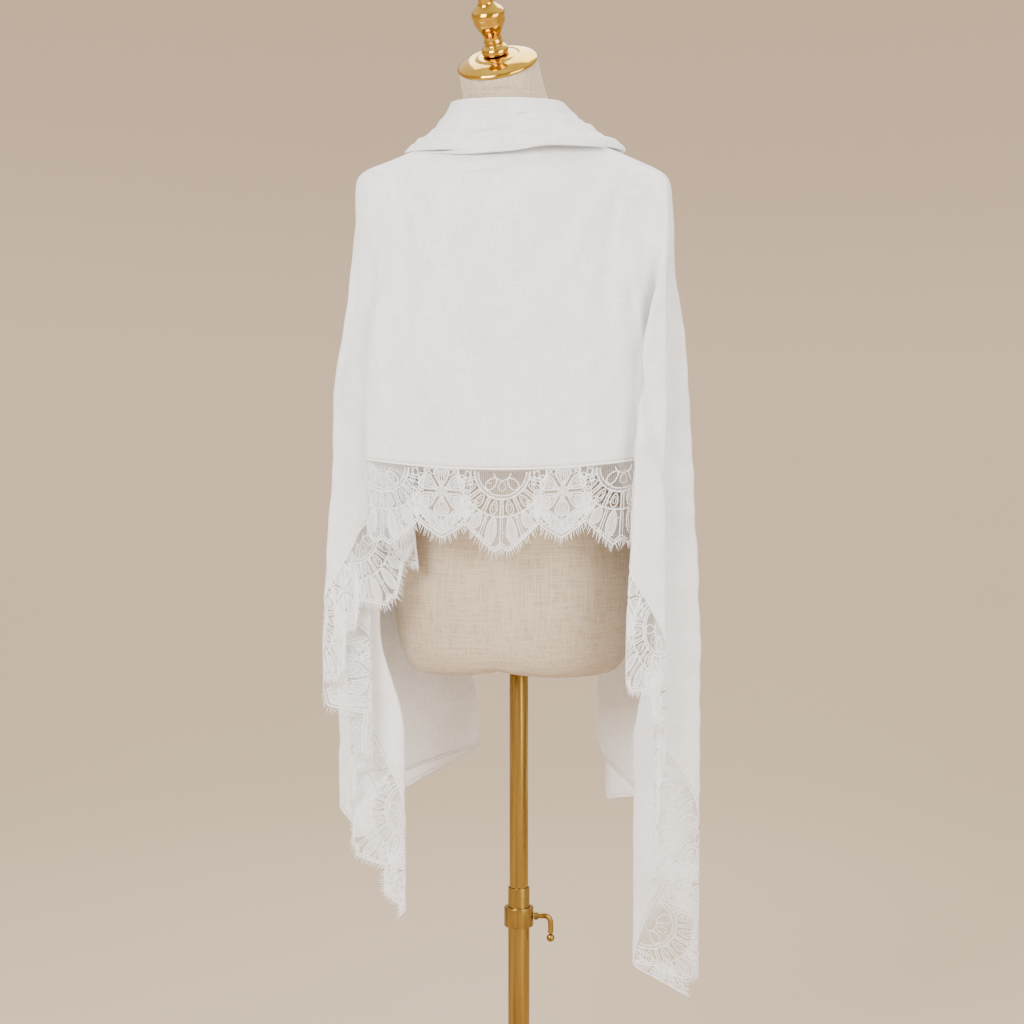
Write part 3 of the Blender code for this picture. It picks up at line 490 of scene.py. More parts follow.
def linen_material():
    made, tree, shader = tree_of("linen_cover")
    place = node(tree, "ShaderNodeTexCoord").outputs["Object"]
    weft = stretched_noise(tree, place, (55.0, 55.0, 850.0), 4.0)
    warp = stretched_noise(tree, place, (750.0, 750.0, 38.0), 4.0)
    slub = stretched_noise(tree, place, (26.0, 26.0, 520.0), 2.0)
    upright = stretched_noise(tree, place, (430.0, 430.0, 20.0), 2.0)
    weave = mixed(tree, "ADD", weft, warp, 0.5)
    knots = mixed(tree, "MAXIMUM", slub, upright)
    both = mixed(tree, "ADD", weave, knots, 0.5)
    tone = ramp(tree, both, (0.300, 0.228, 0.150, 1.0), (0.540, 0.440, 0.320, 1.0), 0.36, 0.56)
    tree.links.new(tone, shader.inputs["Base Color"])
    shader.inputs["Roughness"].default_value = 0.85
    shader.inputs["Sheen Weight"].default_value = 0.25
    shader.inputs["Specular IOR Level"].default_value = 0.2
    bumped(tree, shader, both, 0.45, 0.0008)
    return made


def brass_material(name, colour, dark, roughness, streaks):
    made, tree, shader = tree_of(name)
    place = node(tree, "ShaderNodeTexCoord").outputs["Object"]
    cloud = stretched_noise(tree, place, streaks, 4.0)
    tone = ramp(tree, cloud, dark, colour, 0.35, 0.60)
    tree.links.new(tone, shader.inputs["Base Color"])
    shader.inputs["Metallic"].default_value = 1.0
    gloss = node(tree, "ShaderNodeMapRange", [("Value", cloud)])
    gloss.inputs["To Min"].default_value = roughness * 1.35
    gloss.inputs["To Max"].default_value = roughness * 0.75
    tree.links.new(gloss.outputs["Result"], shader.inputs["Roughness"])
    bumped(tree, shader, cloud, 0.04, 0.0004)
    return made


VOILE = voile_material()
THREAD = lace_material("lace_thread", 0.0, 0.0)
NET = lace_material("lace_net", 0.045, 400.0)
CLOTHWORK = lace_material("lace_clothwork", 0.13, 900.0)
LINEN = linen_material()
POLISHED = brass_material(
    "polished_brass", (0.66, 0.40, 0.055, 1.0), (0.50, 0.28, 0.030, 1.0), 0.10, (30.0, 30.0, 30.0)
)
SATIN = brass_material(
    "satin_brass", (0.37, 0.235, 0.060, 1.0), (0.20, 0.12, 0.028, 1.0), 0.26, (160.0, 160.0, 3.0)
)


# Cloth meshes


def mesh_piece(name, points, faces, finish, uvs=None):
    mesh = bpy.data.meshes.new(name)
    mesh.from_pydata([tuple(p) for p in points], [], faces)
    if uvs is not None:
        layer = mesh.uv_layers.new(name="cloth")
        corners = np.empty(len(mesh.loops), dtype=np.int32)
        mesh.loops.foreach_get("vertex_index", corners)
        layer.data.foreach_set("uv", np.asarray(uvs, dtype=np.float32)[corners].ravel())
    mesh.materials.append(finish)
    mesh.shade_smooth()
    mesh.update()
    obj = bpy.data.objects.new(name, mesh)
    bpy.context.scene.collection.objects.link(obj)
    return obj


def grid_faces(rows, columns, closed_round=False):
    faces = []
    last = columns if closed_round else columns - 1
    for i in range(rows - 1):
        for j in range(last):
            k = (j + 1) % columns
            a = i * columns + j
            b = i * columns + k
            faces.append((a, a + columns, b + columns, b))
    return faces


def thickened(obj, thickness):
    wall = obj.modifiers.new("wall", "SOLIDIFY")
    wall.thickness = thickness
    wall.offset = 0.0
    bpy.context.view_layer.objects.active = obj
    bpy.ops.object.select_all(action="DESELECT")
    obj.select_set(True)
    bpy.ops.object.modifier_apply(modifier=wall.name)
    obj.select_set(False)
    return obj


CLOTH_ROWS = 100
ROW_SPREAD = 1.25
CREASES_BELOW_Z = 1.345
SHELL_WALL = 0.0006


def fall_length(ray, reach):
    """Length of the cloth along a ray from the shoulder, to whichever edge it meets first."""
    angle = np.radians(ray)
    join = np.where(ray > 0.01, JOIN_DROP / np.maximum(np.sin(angle), 1e-6), np.inf)
    plain = np.where(ray < -0.01, PLAIN_DROP / np.maximum(np.sin(-angle), 1e-6), np.inf)
    hem = np.where(np.abs(ray) < 89.9, reach / np.maximum(np.cos(angle), 1e-6), np.inf)
    return np.minimum(join, np.minimum(plain, hem))


def shell_columns():
    """Columns of the voile from the left back edge to the right one, with their places in the cut."""
    found = []
    for side, start_s, reach, rays in (
        (-1, PANEL_LEFT_S, LEFT_REACH, drape.left_rays),
        (1, PANEL_RIGHT_S, RIGHT_REACH, drape.right_rays),
    ):
        lace_corner = math.degrees(math.atan2(JOIN_DROP, reach))
        plain_corner = -math.degrees(math.atan2(PLAIN_DROP, reach))
        ray = np.array(sorted([*rays[1:], lace_corner, plain_corner], reverse=True))
        number = np.interp(-ray, -rays, np.arange(len(rays)))
        column = drape.panel_start - number if side < 0 else drape.panel_end + number
        slack = np.interp(column, np.arange(len(drape.slacks)), drape.slacks)
        bottom = APEX_Z - fall_length(ray, reach) + slack
        starts = np.full_like(ray, start_s)
        sides = np.full_like(ray, side)
        found.append(np.stack([column, bottom, slack, ray, starts, sides]))
    shares = np.arange(PANEL_SAMPLES + 1) / PANEL_SAMPLES
    column = drape.panel_start + shares * PANEL_SAMPLES
    s = between(PANEL_LEFT_S, PANEL_RIGHT_S, shares)
    nothing = np.zeros_like(shares)
    panel = np.stack([column, join_z(shares), nothing, nothing + 90.0, s, nothing])
    return np.concatenate([found[0][:, ::-1], panel, found[1]], axis=1)


def voile_shell():
    """The whole of the voile as one sheet: front, shoulders and both falls."""
    column, bottom, slack, ray, start_s, side = shell_columns()
    points = []
    uvs = []
    for i in range(CLOTH_ROWS):
        z = CLOTH_TOP_Z + (bottom - CLOTH_TOP_Z) * (i / (CLOTH_ROWS - 1)) ** ROW_SPREAD
        radius = APEX_Z + slack - z
        s = start_s + side * radius * np.cos(np.radians(ray))
        w = np.where(side == 0.0, bottom - z, radius * np.sin(np.radians(ray)) - JOIN_DROP)
        places, normals = drape.at(column, z)
        fade = smooth_step((CREASES_BELOW_Z - z) / 0.02)
        points.append(places + normals * (crease_depth(s, w) * fade)[:, None])
        uvs.append(np.stack([s, w], axis=1))
    faces = grid_faces(CLOTH_ROWS, len(column))
    obj = mesh_piece("voile_shawl", np.concatenate(points), faces, VOILE, np.concatenate(uvs))
    return thickened(obj, SHELL_WALL)


# Collar of rolled cloth

Section = namedtuple("Section", "out z")
COWL_SECTION = (
    Section(0.00, 1.3880),
    Section(0.00, 1.4080),
    Section(0.05, 1.4150),
    Section(0.12, 1.4155),
    Section(0.19, 1.4090),
    Section(0.42, 1.3890),
    Section(0.74, 1.3710),
    Section(0.95, 1.3620),
    Section(1.00, 1.3575),
    Section(0.95, 1.3538),
    Section(0.84, 1.3590),
)
NECK_HALF = 0.0600
NECK_DEPTH = 0.0580
NECK_BASE_Z = 1.385
LIP_ROW = 8
LIP_TURNS = (-180.0, -100.0, -80.0, -60.0, -35.0, 0.0, 28.0, 60.0, 80.0, 100.0, 180.0)
LIP_RISES = (0.0, -0.0065, -0.0060, -0.0010, -0.0030, 0.0005, 0.0060, 0.0085, 0.0000, -0.0065, 0.0)
LIP_HALF = 0.142
LIP_FRONT = 0.0784
LIP_BACK = 0.0686
COWL_COLUMNS = 180
COWL_STEPS = 8
COWL_WALL = 0.0006
COLLAR_CUT = (0.56, 0.13)
COLLAR_UV_RADIUS = 0.11
NECK_CLEARANCE = 0.0012
WRINKLES = (0.0018, 0.0011, 0.0007)
TUCK_DEPTH = 0.0070
TUCK_TURN = 5.45
TUCK_OUT = 0.70
LIP_SWAY = 0.0016
ROLL_Z = 1.3510
ROLL_TURNS = (-1.15, 1.20)
ROLL_TAPER = 0.30
CAP_CENTRE = Vector((-0.027, -0.022, 1.462))
CAP_AXIS = Vector((-0.205, -0.500, 1.0)).normalized()
CAP_RADIUS = 0.052


def oval(centre_x, centre_y, half, front, back, turns):
    depth = np.where(np.cos(turns) > 0, front, back)
    radius = 1.0 / np.hypot(np.sin(turns) / half, np.cos(turns) / depth)
    return centre_x + radius * np.sin(turns), centre_y - radius * np.cos(turns)


def neck_centre(z):
    share = max(0.0, min((z - NECK_BASE_Z) / (CAP_CENTRE.z - NECK_BASE_Z), 1.0))
    return between(-0.010, CAP_CENTRE.x, share), between(0.0, CAP_CENTRE.y, share)


def smooth_rows(rows, steps):
    """A smooth curve through rows of numbers, with steps to each of them."""
    rows = np.array(rows, dtype=float)
    padded = np.vstack([rows[:1], rows, rows[-1:]])
    found = []
    for i in range(1, len(padded) - 2):
        a, b, c, d = padded[i - 1 : i + 3]
        for step in range(steps):
            t = step / steps
            near = (c - a) * 0.5
            far = (d - b) * 0.5
            cubic = 2.0 * b - 2.0 * c + near + far
            square = 3.0 * (c - b) - 2.0 * near - far
            found.append(((cubic * t + square) * t + near) * t + b)
    found.append(rows[-1])
    return np.array(found)


def lip_rise(turns):
    """How far the collar's lip lies above its mean height, by the turn round the neck."""
    degrees = (np.degrees(turns) + 180.0) % 360.0 - 180.0
    shifts = [np.interp(degrees + lean, LIP_TURNS, LIP_RISES, period=360.0) for lean in (-9.0, 0.0, 9.0)]
    return sum(shifts) / 3.0


def rolled_collar():
    """The top edge of the voile rolled round the neck, from inside it out over its lip and under."""
    turns = np.linspace(0.0, 2.0 * math.pi, COWL_COLUMNS, endpoint=False)
    rows = smooth_rows(COWL_SECTION, COWL_STEPS)
    points = []
    uvs = []
    side = np.sin(turns)
    front = 0.5 + 0.5 * np.cos(turns)
    under = np.abs(side) ** 3
    for index, (out, z) in enumerate(rows):
        wall = NECK_HALF + NECK_CLEARANCE
        depth = NECK_DEPTH + NECK_CLEARANCE
        near_x, near_y = oval(*neck_centre(z), wall, depth, depth, turns)
        lip_x, lip_y = oval(NECK_X, 0.0, LIP_HALF, LIP_FRONT, LIP_BACK, turns)
        x = between(near_x, lip_x, out)
        y = between(near_y, lip_y, out)
        free = smooth_step((out - 0.10) / 0.25) * smooth_step((1.04 - out) / 0.15)
        wrinkle = WRINKLES[0] * np.sin(out * 15.0 + 1.9 * np.sin(turns * 2.0 + 0.6) + turns * 0.7)
        wrinkle = wrinkle + WRINKLES[1] * np.sin(out * 33.0 + turns * 1.9 + 1.1 * np.sin(turns * 5.0))
        wrinkle = wrinkle + WRINKLES[2] * np.sin(out * 52.0 - turns * 3.1 + 1.4 * np.sin(turns * 3.0))
        tuck = np.exp(-(((turns - TUCK_TURN) / 0.20) ** 2)) * np.exp(-(((out - TUCK_OUT) / 0.13) ** 2))
        turned_under = smooth_step((index - LIP_ROW * COWL_STEPS) / COWL_STEPS)
        rise = lip_rise(turns) * out**3 * (1.0 - turned_under * under)
        height = z + rise + free * (wrinkle * (0.10 + 1.35 * front) - TUCK_DEPTH * tuck)
        height = height + LIP_SWAY * np.sin(turns * 2.0 - 0.9) * smooth_step((out - 0.3) / 0.5) * front
        points.append(np.stack([x, y, height], axis=1))
        down = np.full_like(turns, -COLLAR_CUT[1] * index / len(rows))
        uvs.append(np.stack([turns * COLLAR_UV_RADIUS, down], axis=1))
    faces = grid_faces(len(rows), COWL_COLUMNS, closed_round=True)
    obj = mesh_piece("rolled_collar", np.concatenate(points), faces, VOILE, np.concatenate(uvs))
    return thickened(obj, COWL_WALL)


def collar_under_roll():
    """The second, narrow roll of cloth that shows under the collar's lip in front."""
    turns = np.linspace(ROLL_TURNS[0], ROLL_TURNS[1], 90)
    x, y = oval(NECK_X, 0.0, LIP_HALF * 0.995, LIP_FRONT * 0.995, LIP_BACK, turns)
    z = ROLL_Z + lip_rise(turns) + 0.0009 * np.sin(turns * 3.0 + 0.4) - 0.0005 * np.cos(turns * 7.0)
    points = np.stack([x, y, z], axis=1)
    ends = smooth_step((turns - ROLL_TURNS[0]) / ROLL_TAPER)
    ends = ends * smooth_step((ROLL_TURNS[1] - turns) / ROLL_TAPER)
    radius = 0.0004 + 0.0018 * ends
    return swept("collar_under_roll", points, radius, 12, VOILE)


def swept(name, points, radii, sides, finish):
    """A round roll along a line of points, with its own radius at each, closed at its ends."""
    points = np.asarray(points, dtype=float)
    tangents = np.gradient(points, axis=0)
    tangents /= np.linalg.norm(tangents, axis=1, keepdims=True)
    across = np.cross(tangents, np.array([0.0, 0.0, 1.0]))
    lengths = np.linalg.norm(across, axis=1, keepdims=True)
    across = np.where(lengths > 0.05, across / np.maximum(lengths, 1e-9), np.array([0.0, 1.0, 0.0]))
    up = np.cross(across, tangents)
    rings = []
    uvs = []
    run = np.concatenate([[0.0], np.cumsum(np.linalg.norm(np.diff(points, axis=0), axis=1))])
    for k in range(sides):
        turn = 2.0 * math.pi * k / sides
        rings.append(points + (across * math.cos(turn) + up * math.sin(turn)) * radii[:, None])
        uvs.append(np.stack([run, np.full_like(run, 0.001 * k)], axis=1))
    vertices = np.stack(rings, axis=1).reshape(-1, 3)
    faces = grid_faces(len(points), sides, closed_round=True)
    faces.append(tuple(range(sides)))
    faces.append(tuple(reversed(range(len(vertices) - sides, len(vertices)))))
    return mesh_piece(name, vertices, faces, finish, np.stack(uvs, axis=1).reshape(-1, 2))


# Lace


Line = namedtuple("Line", "s w half")
CORD = 0.00105
RAIL = 0.00075
FINE = 0.00048
POINT_STEP = 0.0030
STRAIGHT_STEP = 0.0045
PETALS = 6
PETAL_TURN = 30.0
FLOWER_CENTRE_W = 0.031
FLOWER_EYE = 0.0064
MEDALLION_CENTRE_W = 0.004
HEART = 0.0110
FAN_RIM = 0.0300
FAN_INNER = 0.0345
FAN_OUTER = 0.0560
FAN_TURNS = (14.0, 166.0)
BAYS = 6
LEAF_TURNS = (44.0, 62.0, 80.0, 100.0, 118.0, 136.0)
LEAF_FOOT = 0.0572
LEAF_MARGIN = 0.0060
ROOT_S = 0.0455
ROOT_W = 0.063
VALLEY_LEAVES = ((-64.0, 0.030, 0.0052), (-92.0, 0.036, 0.0050), (-118.0, 0.026, 0.0046))
EDGE_IN = 0.0010
RAIL_IN = 0.0052
TIE_STEP = 0.0050


def line_along(s, w, half):
    return Line(np.asarray(s, dtype=float), np.asarray(w, dtype=float), half)


def arc(centre, radius, first, last, half):
    count = max(5, int(abs(last - first) * math.pi / 180.0 * radius / POINT_STEP))
    turns = np.radians(np.linspace(first, last, count))
    return line_along(centre[0] + radius * np.cos(turns), centre[1] + radius * np.sin(turns), half)


def straight(a, b, half):
    count = max(2, int(math.hypot(b[0] - a[0], b[1] - a[1]) / STRAIGHT_STEP) + 1)
    shares = np.linspace(0.0, 1.0, count)
    return line_along(between(a[0], b[0], shares), between(a[1], b[1], shares), half)


def spoke(centre, angle, near, far, half):
    turn = math.radians(angle)
    a = (centre[0] + near * math.cos(turn), centre[1] + near * math.sin(turn))
    b = (centre[0] + far * math.cos(turn), centre[1] + far * math.sin(turn))
    return straight(a, b, half)


def petal_loop(centre, angle, near, far, half_width, half, fullness=0.5, count=22):
    """A closed petal or leaf round its axis, fuller towards its outer end as fullness grows."""
    turns = np.linspace(0.0, 2.0 * math.pi, count)
    share = (1.0 - np.cos(turns)) / 2.0
    along = near + (far - near) * share
    across = half_width * np.sin(turns) * (1.0 - fullness + fullness * share * 1.6)
    turn = math.radians(angle)
    s = centre[0] + along * math.cos(turn) - across * math.sin(turn)
    w = centre[1] + along * math.sin(turn) + across * math.cos(turn)
    return line_along(s, w, half)


def zigzag(centre, near, far, first, last, count, half):
    """A thread that crosses to and fro between two radii."""
    turns = np.radians(np.linspace(first, last, count))
    radius = np.where(np.arange(count) % 2 == 0, near, far)
    return line_along(centre[0] + radius * np.cos(turns), centre[1] + radius * np.sin(turns), half)


def reach_to_edge(centre, angle, margin):
    """How far from a centre the scalloped edge lies, less a margin."""
    turn = math.radians(angle)
    radius = 0.02
    while centre[1] + radius * math.sin(turn) < scallop(centre[0] + radius * math.cos(turn)) - margin:
        radius += 0.0005
        if radius > 0.12:
            break
    return radius


def motif_numbers(first_s, last_s):
    """Numbers of the repeats that reach into a stretch."""
    return range(math.floor(first_s / REPEAT) - 1, math.ceil(last_s / REPEAT) + 2)


def leaf_reaches(centre):
    """The turns and outer ends of a medallion's outer leaves, where the edge leaves them room."""
    for angle in LEAF_TURNS:
        far = reach_to_edge(centre, angle, LEAF_MARGIN)
        if far - 0.0580 > 0.006:
            yield angle, far


def leaf_turn(angle, way):
    return angle if way > 0 else -180.0 - angle


def medallion_lines(centre_s):
    """A fan of six bays round a heart, with leaves out to the scalloped edge."""
    centre = (centre_s, MEDALLION_CENTRE_W)
    lines = [
        arc(centre, FAN_RIM, 2.0, 178.0, RAIL),
        arc(centre, FAN_INNER, 0.0, 180.0, CORD),
        arc(centre, FAN_OUTER, 0.0, 180.0, CORD),
        zigzag(centre, FAN_RIM, FAN_INNER, 2.0, 178.0, 32, FINE),
        arc(centre, HEART, 12.0, 168.0, RAIL),
    ]
    for angle in (48.0, 132.0):
        lines.append(petal_loop(centre, angle, HEART, 0.0290, 0.0058, RAIL, 0.3, 14))
    lines.append(petal_loop(centre, 90.0, 0.0125, 0.0240, 0.0045, FINE, 0.2, 12))
    step = (FAN_TURNS[1] - FAN_TURNS[0]) / BAYS
    for k in range(BAYS + 1):
        angle = FAN_TURNS[0] + step * k
        lines.append(spoke(centre, angle - 2.0, FAN_INNER, FAN_OUTER, RAIL))
        lines.append(spoke(centre, angle + 2.0, FAN_INNER, FAN_OUTER, RAIL))
    for k in range(BAYS):
        angle = FAN_TURNS[0] + step * (k + 0.5)
        lines.append(petal_loop(centre, angle, 0.0370, 0.0535, 0.0046, RAIL, 0.35, 16))
        lines.append(petal_loop(centre, angle, 0.0405, 0.0500, 0.0020, FINE, 0.2, 9))
    for angle, far in leaf_reaches(centre):
        lines.append(petal_loop(centre, angle, LEAF_FOOT, far, 0.0066, RAIL, 0.3, 18))
        lines.append(petal_loop(centre, angle, 0.0600, far - 0.003, 0.0034, FINE, 0.3, 12))
    for angle in (53.0, 71.0, 90.0, 109.0, 127.0):
        far = reach_to_edge(centre, angle, EDGE_IN)
        lines.append(spoke(centre, angle - 1.2, FAN_OUTER, far, FINE))
        lines.append(spoke(centre, angle + 1.2, FAN_OUTER, far, RAIL))
    return lines


def flower_lines(centre_s):
    """A flower of six petals round its eye, with small leaves down to its scallop."""
    centre = (centre_s, FLOWER_CENTRE_W)
    lines = [
        arc(centre, 0.0026, 0.0, 360.0, RAIL),
        zigzag(centre, 0.0030, 0.0066, 0.0, 360.0, 19, FINE),
        arc(centre, 0.0068, 0.0, 360.0, FINE),
    ]
    for k in range(PETALS):
        angle = 360.0 / PETALS * k + PETAL_TURN
        lines.append(petal_loop(centre, angle, 0.0066, 0.0300, 0.0088, CORD, 0.75, 26))
        lines.append(petal_loop(centre, angle, 0.0110, 0.0262, 0.0054, FINE, 0.75, 16))
        for lean in (-9.0, 0.0, 9.0):
            lines.append(spoke(centre, angle + lean, 0.0068, 0.0215, FINE))
    for angle in (58.0, 74.0, 106.0, 122.0):
        far = reach_to_edge(centre, angle, 0.0050)
        if far > 0.034:
            lines.append(petal_loop(centre, angle, 0.0312, far, 0.0040, RAIL, 0.2, 12))
    far = reach_to_edge(centre, 90.0, 0.0)
    for angle in (88.5, 91.5):
        lines.append(spoke(centre, angle, 0.0300, far, FINE))
    return lines


def valley_lines(centre_s, way):
    """Leaves, loops and scrolls between a medallion and the flower beside it."""
    root = (centre_s + way * ROOT_S, ROOT_W)
    lines = []
    for angle, length, width in VALLEY_LEAVES:
        turned = leaf_turn(angle, way)
        lines.append(petal_loop(root, turned, 0.0, length, width, RAIL, 0.4, 20))
        lines.append(spoke(root, turned, 0.0, length * 0.92, FINE))
        lines.append(petal_loop(root, turned, 0.004, length * 0.8, width * 0.55, FINE, 0.4, 14))
    for along, down, radius in (
        (0.0430, 0.0085, 0.0034),
        (0.0505, 0.0130, 0.0030),
        (0.0395, 0.0180, 0.0026),
        (0.0640, 0.0060, 0.0030),
        (0.0575, 0.0055, 0.0022),
        (0.0560, 0.0600, 0.0030),
        (0.0385, 0.0560, 0.0030),
    ):
        spot = (centre_s + way * along, down)
        lines.append(petal_loop(spot, 90.0, -radius * 1.3, radius * 1.3, radius, RAIL, 0.0, 12))
    for top, foot, down in ((0.0, 0.002, 0.030), (-0.007, -0.004, 0.052), (0.009, 0.006, 0.050)):
        lines.append(straight((root[0] + way * top, 0.0), (root[0] + way * foot, down), FINE))
    return lines


def edge_lines(first_s, last_s):
    """Two cords that follow the scallops, and the thread that crosses between them."""
    count = int((last_s - first_s) / POINT_STEP)
    s = np.linspace(first_s, last_s, count)
    edge = scallop(s)
    lines = [line_along(s, edge - EDGE_IN, CORD), line_along(s, edge - RAIL_IN, RAIL)]
    cross = np.where(np.arange(count) % 2 == 0, edge - EDGE_IN, edge - RAIL_IN)
    lines.append(line_along(s, cross, FINE))
    return lines


def net_ties(first_s, last_s):
    """Fine ties that join the motifs, scattered over the ground."""
    lines = []
    count = int((last_s - first_s) / TIE_STEP)
    for k in range(count):
        s = first_s + (k + 0.5) * TIE_STEP
        w = random.uniform(0.003, float(scallop(s)) - 0.012)
        angle = random.uniform(0.0, math.pi)
        length = random.uniform(0.004, 0.009)
        ds = math.cos(angle) * length
        dw = math.sin(angle) * length
        lines.append(straight((s - ds / 2, w), (s + ds / 2, w + dw), FINE * 0.85))
    return lines


def clipped(lines, first_s, last_s):
    """Lines cut to the stretch of lace between two places, and below the heading."""
    kept = []
    for line in lines:
        inside = (line.s > first_s) & (line.s < last_s) & (line.w > -0.0005)
        inside &= line.w < scallop(line.s) + 0.0005
        run = []
        for i, good in enumerate(inside):
            if good:
                run.append(i)
            if run and (not good or i == len(inside) - 1):
                if len(run) > 1:
                    kept.append(Line(line.s[run], line.w[run], line.half))
                run = []
    return kept


def unit(vectors):
    return vectors / np.maximum(np.linalg.norm(vectors, axis=1, keepdims=True), 1e-9)


def thread_mesh(name, lines, finish, flatness=0.8):
    """All the threads of a stretch as one mesh of four-sided strands laid on the drape."""
    s = np.concatenate([line.s for line in lines])
    w = np.concatenate([line.w for line in lines])
    half = np.concatenate([np.full(len(line.s), line.half) for line in lines])
    places, normals = drape.flat(s, w)
    tangents = np.empty_like(places)
    start = 0
    faces = []
    for line in lines:
        count = len(line.s)
        tangents[start : start + count] = np.gradient(places[start : start + count], axis=0)
        for i in range(start, start + count - 1):
            a = i * 4
            for k in range(4):
                n = (k + 1) % 4
                faces.append((a + k, a + 4 + k, a + 4 + n, a + n))
        first = start * 4
        last = (start + count - 1) * 4
        faces.append((first, first + 1, first + 2, first + 3))
        faces.append((last + 3, last + 2, last + 1, last))
        start += count
    across = unit(np.cross(unit(tangents), normals))
    side = across * half[:, None]
    rise = normals * (half * flatness)[:, None]
    vertices = np.stack([places + side, places + rise, places - side, places - rise], axis=1)
    uvs = np.repeat(np.stack([s, w], axis=1), 4, axis=0)
    return mesh_piece(name, vertices.reshape(-1, 3), faces, finish, uvs)


def opening_cells(centre, near, far, first, last, count, bar):
    """Openings between bars, the same ones that the model's lace has."""
    cells = []
    step = (last - first) / count
    for k in range(count):
        low = math.radians(first + step * k)
        high = math.radians(first + step * (k + 1))
        near_turns = np.linspace(low + bar / near / 2, high - bar / near / 2, 4)
        far_turns = np.linspace(high - bar / far / 2, low + bar / far / 2, 6)
        ring = [(centre[0] + near * math.cos(t), centre[1] + near * math.sin(t)) for t in near_turns]
        ring += [(centre[0] + far * math.cos(t), centre[1] + far * math.sin(t)) for t in far_turns]
        cells.append(ring)
    return cells


def contains(polygon, point):
    """Whether a point lies inside a polygon, by counting the sides that a line from it crosses."""
    x, y = point
    inside = False
    for (x1, y1), (x2, y2) in zip(polygon, polygon[1:] + polygon[:1]):
        if (y1 > y) != (y2 > y) and x < (x2 - x1) * (y - y1) / (y2 - y1) + x1:
            inside = not inside
    return inside


NET_STEP = 0.005
NET_EDGE_STEP = 0.004
NET_FIRST_W = 0.0026
NET_MARGIN = 0.003
OPENING_NEAR = 0.036
OPENING_FAR = 0.053
OPENING_BAR = 0.0065
CLOTHWORK_LIFT = 0.0004


def net_ground(name, first_s, last_s):
    """The lace's net between its motifs, cut through where the lace is open."""
    s = np.linspace(first_s, last_s, int((last_s - first_s) / NET_EDGE_STEP))
    outline = [(float(a), 0.0) for a in s]
    outline += [(float(a), float(scallop(a)) - 0.0005) for a in s[::-1]]
    cells = []
    for k in motif_numbers(first_s, last_s):
        centre = (k * REPEAT, MEDALLION_CENTRE_W)
        cells += opening_cells(centre, OPENING_NEAR, OPENING_FAR, *FAN_TURNS, BAYS, OPENING_BAR)
    low = first_s + NET_MARGIN
    high = last_s - NET_MARGIN
    cells = [
        cell
        for cell in cells
        if all(low < a < high and NET_MARGIN < b < scallop(a) - NET_MARGIN for a, b in cell)
    ]
    points = []
    edges = []
    for polygon in [outline] + cells:
        start = len(points)
        points += polygon
        edges += [(start + i, start + (i + 1) % len(polygon)) for i in range(len(polygon))]
    for i in range(int((last_s - first_s) / NET_STEP)):
        a = first_s + (i + 0.5) * NET_STEP
        for k in range(20):
            b = NET_FIRST_W + NET_STEP * k
            if b < scallop(a) - NET_MARGIN:
                points.append((a, b))
    made = delaunay_2d_cdt([Vector(p) for p in points], edges, [], 0, 1e-7)
    places = np.array([tuple(v) for v in made[0]])
    faces = []
    for face in made[2]:
        middle = places[list(face)].mean(axis=0)
        near = [cell for cell in cells if abs(cell[0][0] - middle[0]) < 0.06]
        if 0.0 < middle[1] < scallop(middle[0]) and not any(contains(cell, middle) for cell in near):
            faces.append(tuple(face))
    used = sorted({i for face in faces for i in face})
    number = {old: new for new, old in enumerate(used)}
    faces = [tuple(number[i] for i in face) for face in faces]
    flat = places[used]
    space, normals = drape.flat(flat[:, 0], flat[:, 1])
    return mesh_piece(name, space, faces, NET, flat)


def clothwork(name, first_s, last_s):
    """The close-worked parts: petals' outer halves, hearts and leaves, raised a little on the net."""
    loops = []
    for k in motif_numbers(first_s, last_s):
        flower = ((k + 0.5) * REPEAT, FLOWER_CENTRE_W)
        loops.append(petal_loop(flower, 0.0, -FLOWER_EYE, FLOWER_EYE, FLOWER_EYE, 0.0, 0.0, 16))
        for petal in range(PETALS):
            angle = 360.0 / PETALS * petal + PETAL_TURN
            loops.append(petal_loop(flower, angle, 0.0180, 0.0295, 0.0080, 0.0, 0.25, 18))
        medallion = (k * REPEAT, MEDALLION_CENTRE_W)
        for angle, far in leaf_reaches(medallion):
            loops.append(petal_loop(medallion, angle, LEAF_FOOT, far, 0.0064, 0.0, 0.3, 14))
        for way in (-1, 1):
            root = (k * REPEAT + way * ROOT_S, ROOT_W)
            for angle, length, width in VALLEY_LEAVES[:2]:
                turned = leaf_turn(angle, way)
                loops.append(petal_loop(root, turned, 0.002, length * 0.92, width * 0.8, 0.0, 0.4, 14))
    points = []
    faces = []
    for loop in loops:
        inside = (loop.s > first_s) & (loop.s < last_s) & (loop.w > 0.0) & (loop.w < scallop(loop.s))
        if not inside.all():
            continue
        start = len(points)
        count = len(loop.s) - 1
        points.append((loop.s[:-1].mean(), loop.w[:-1].mean()))
        points += list(zip(loop.s[:-1], loop.w[:-1]))
        for i in range(count):
            faces.append((start, start + 1 + i, start + 1 + (i + 1) % count))
    flat = np.array(points)
    space, normals = drape.flat(flat[:, 0], flat[:, 1])
    return mesh_piece(name, space + normals * CLOTHWORK_LIFT, faces, CLOTHWORK, flat)


FRINGE_PITCH = 0.0026
FRINGE_LENGTHS = (0.0080, 0.0125)
FRINGE_LEAN = 9.0
FRINGE_CURL = 0.0010
# Half widths of a thread of the fringe, by the share of its length
FRINGE_TAPER = ((0.0, 0.00070), (0.5, 0.00060), (1.0, 0.00032))


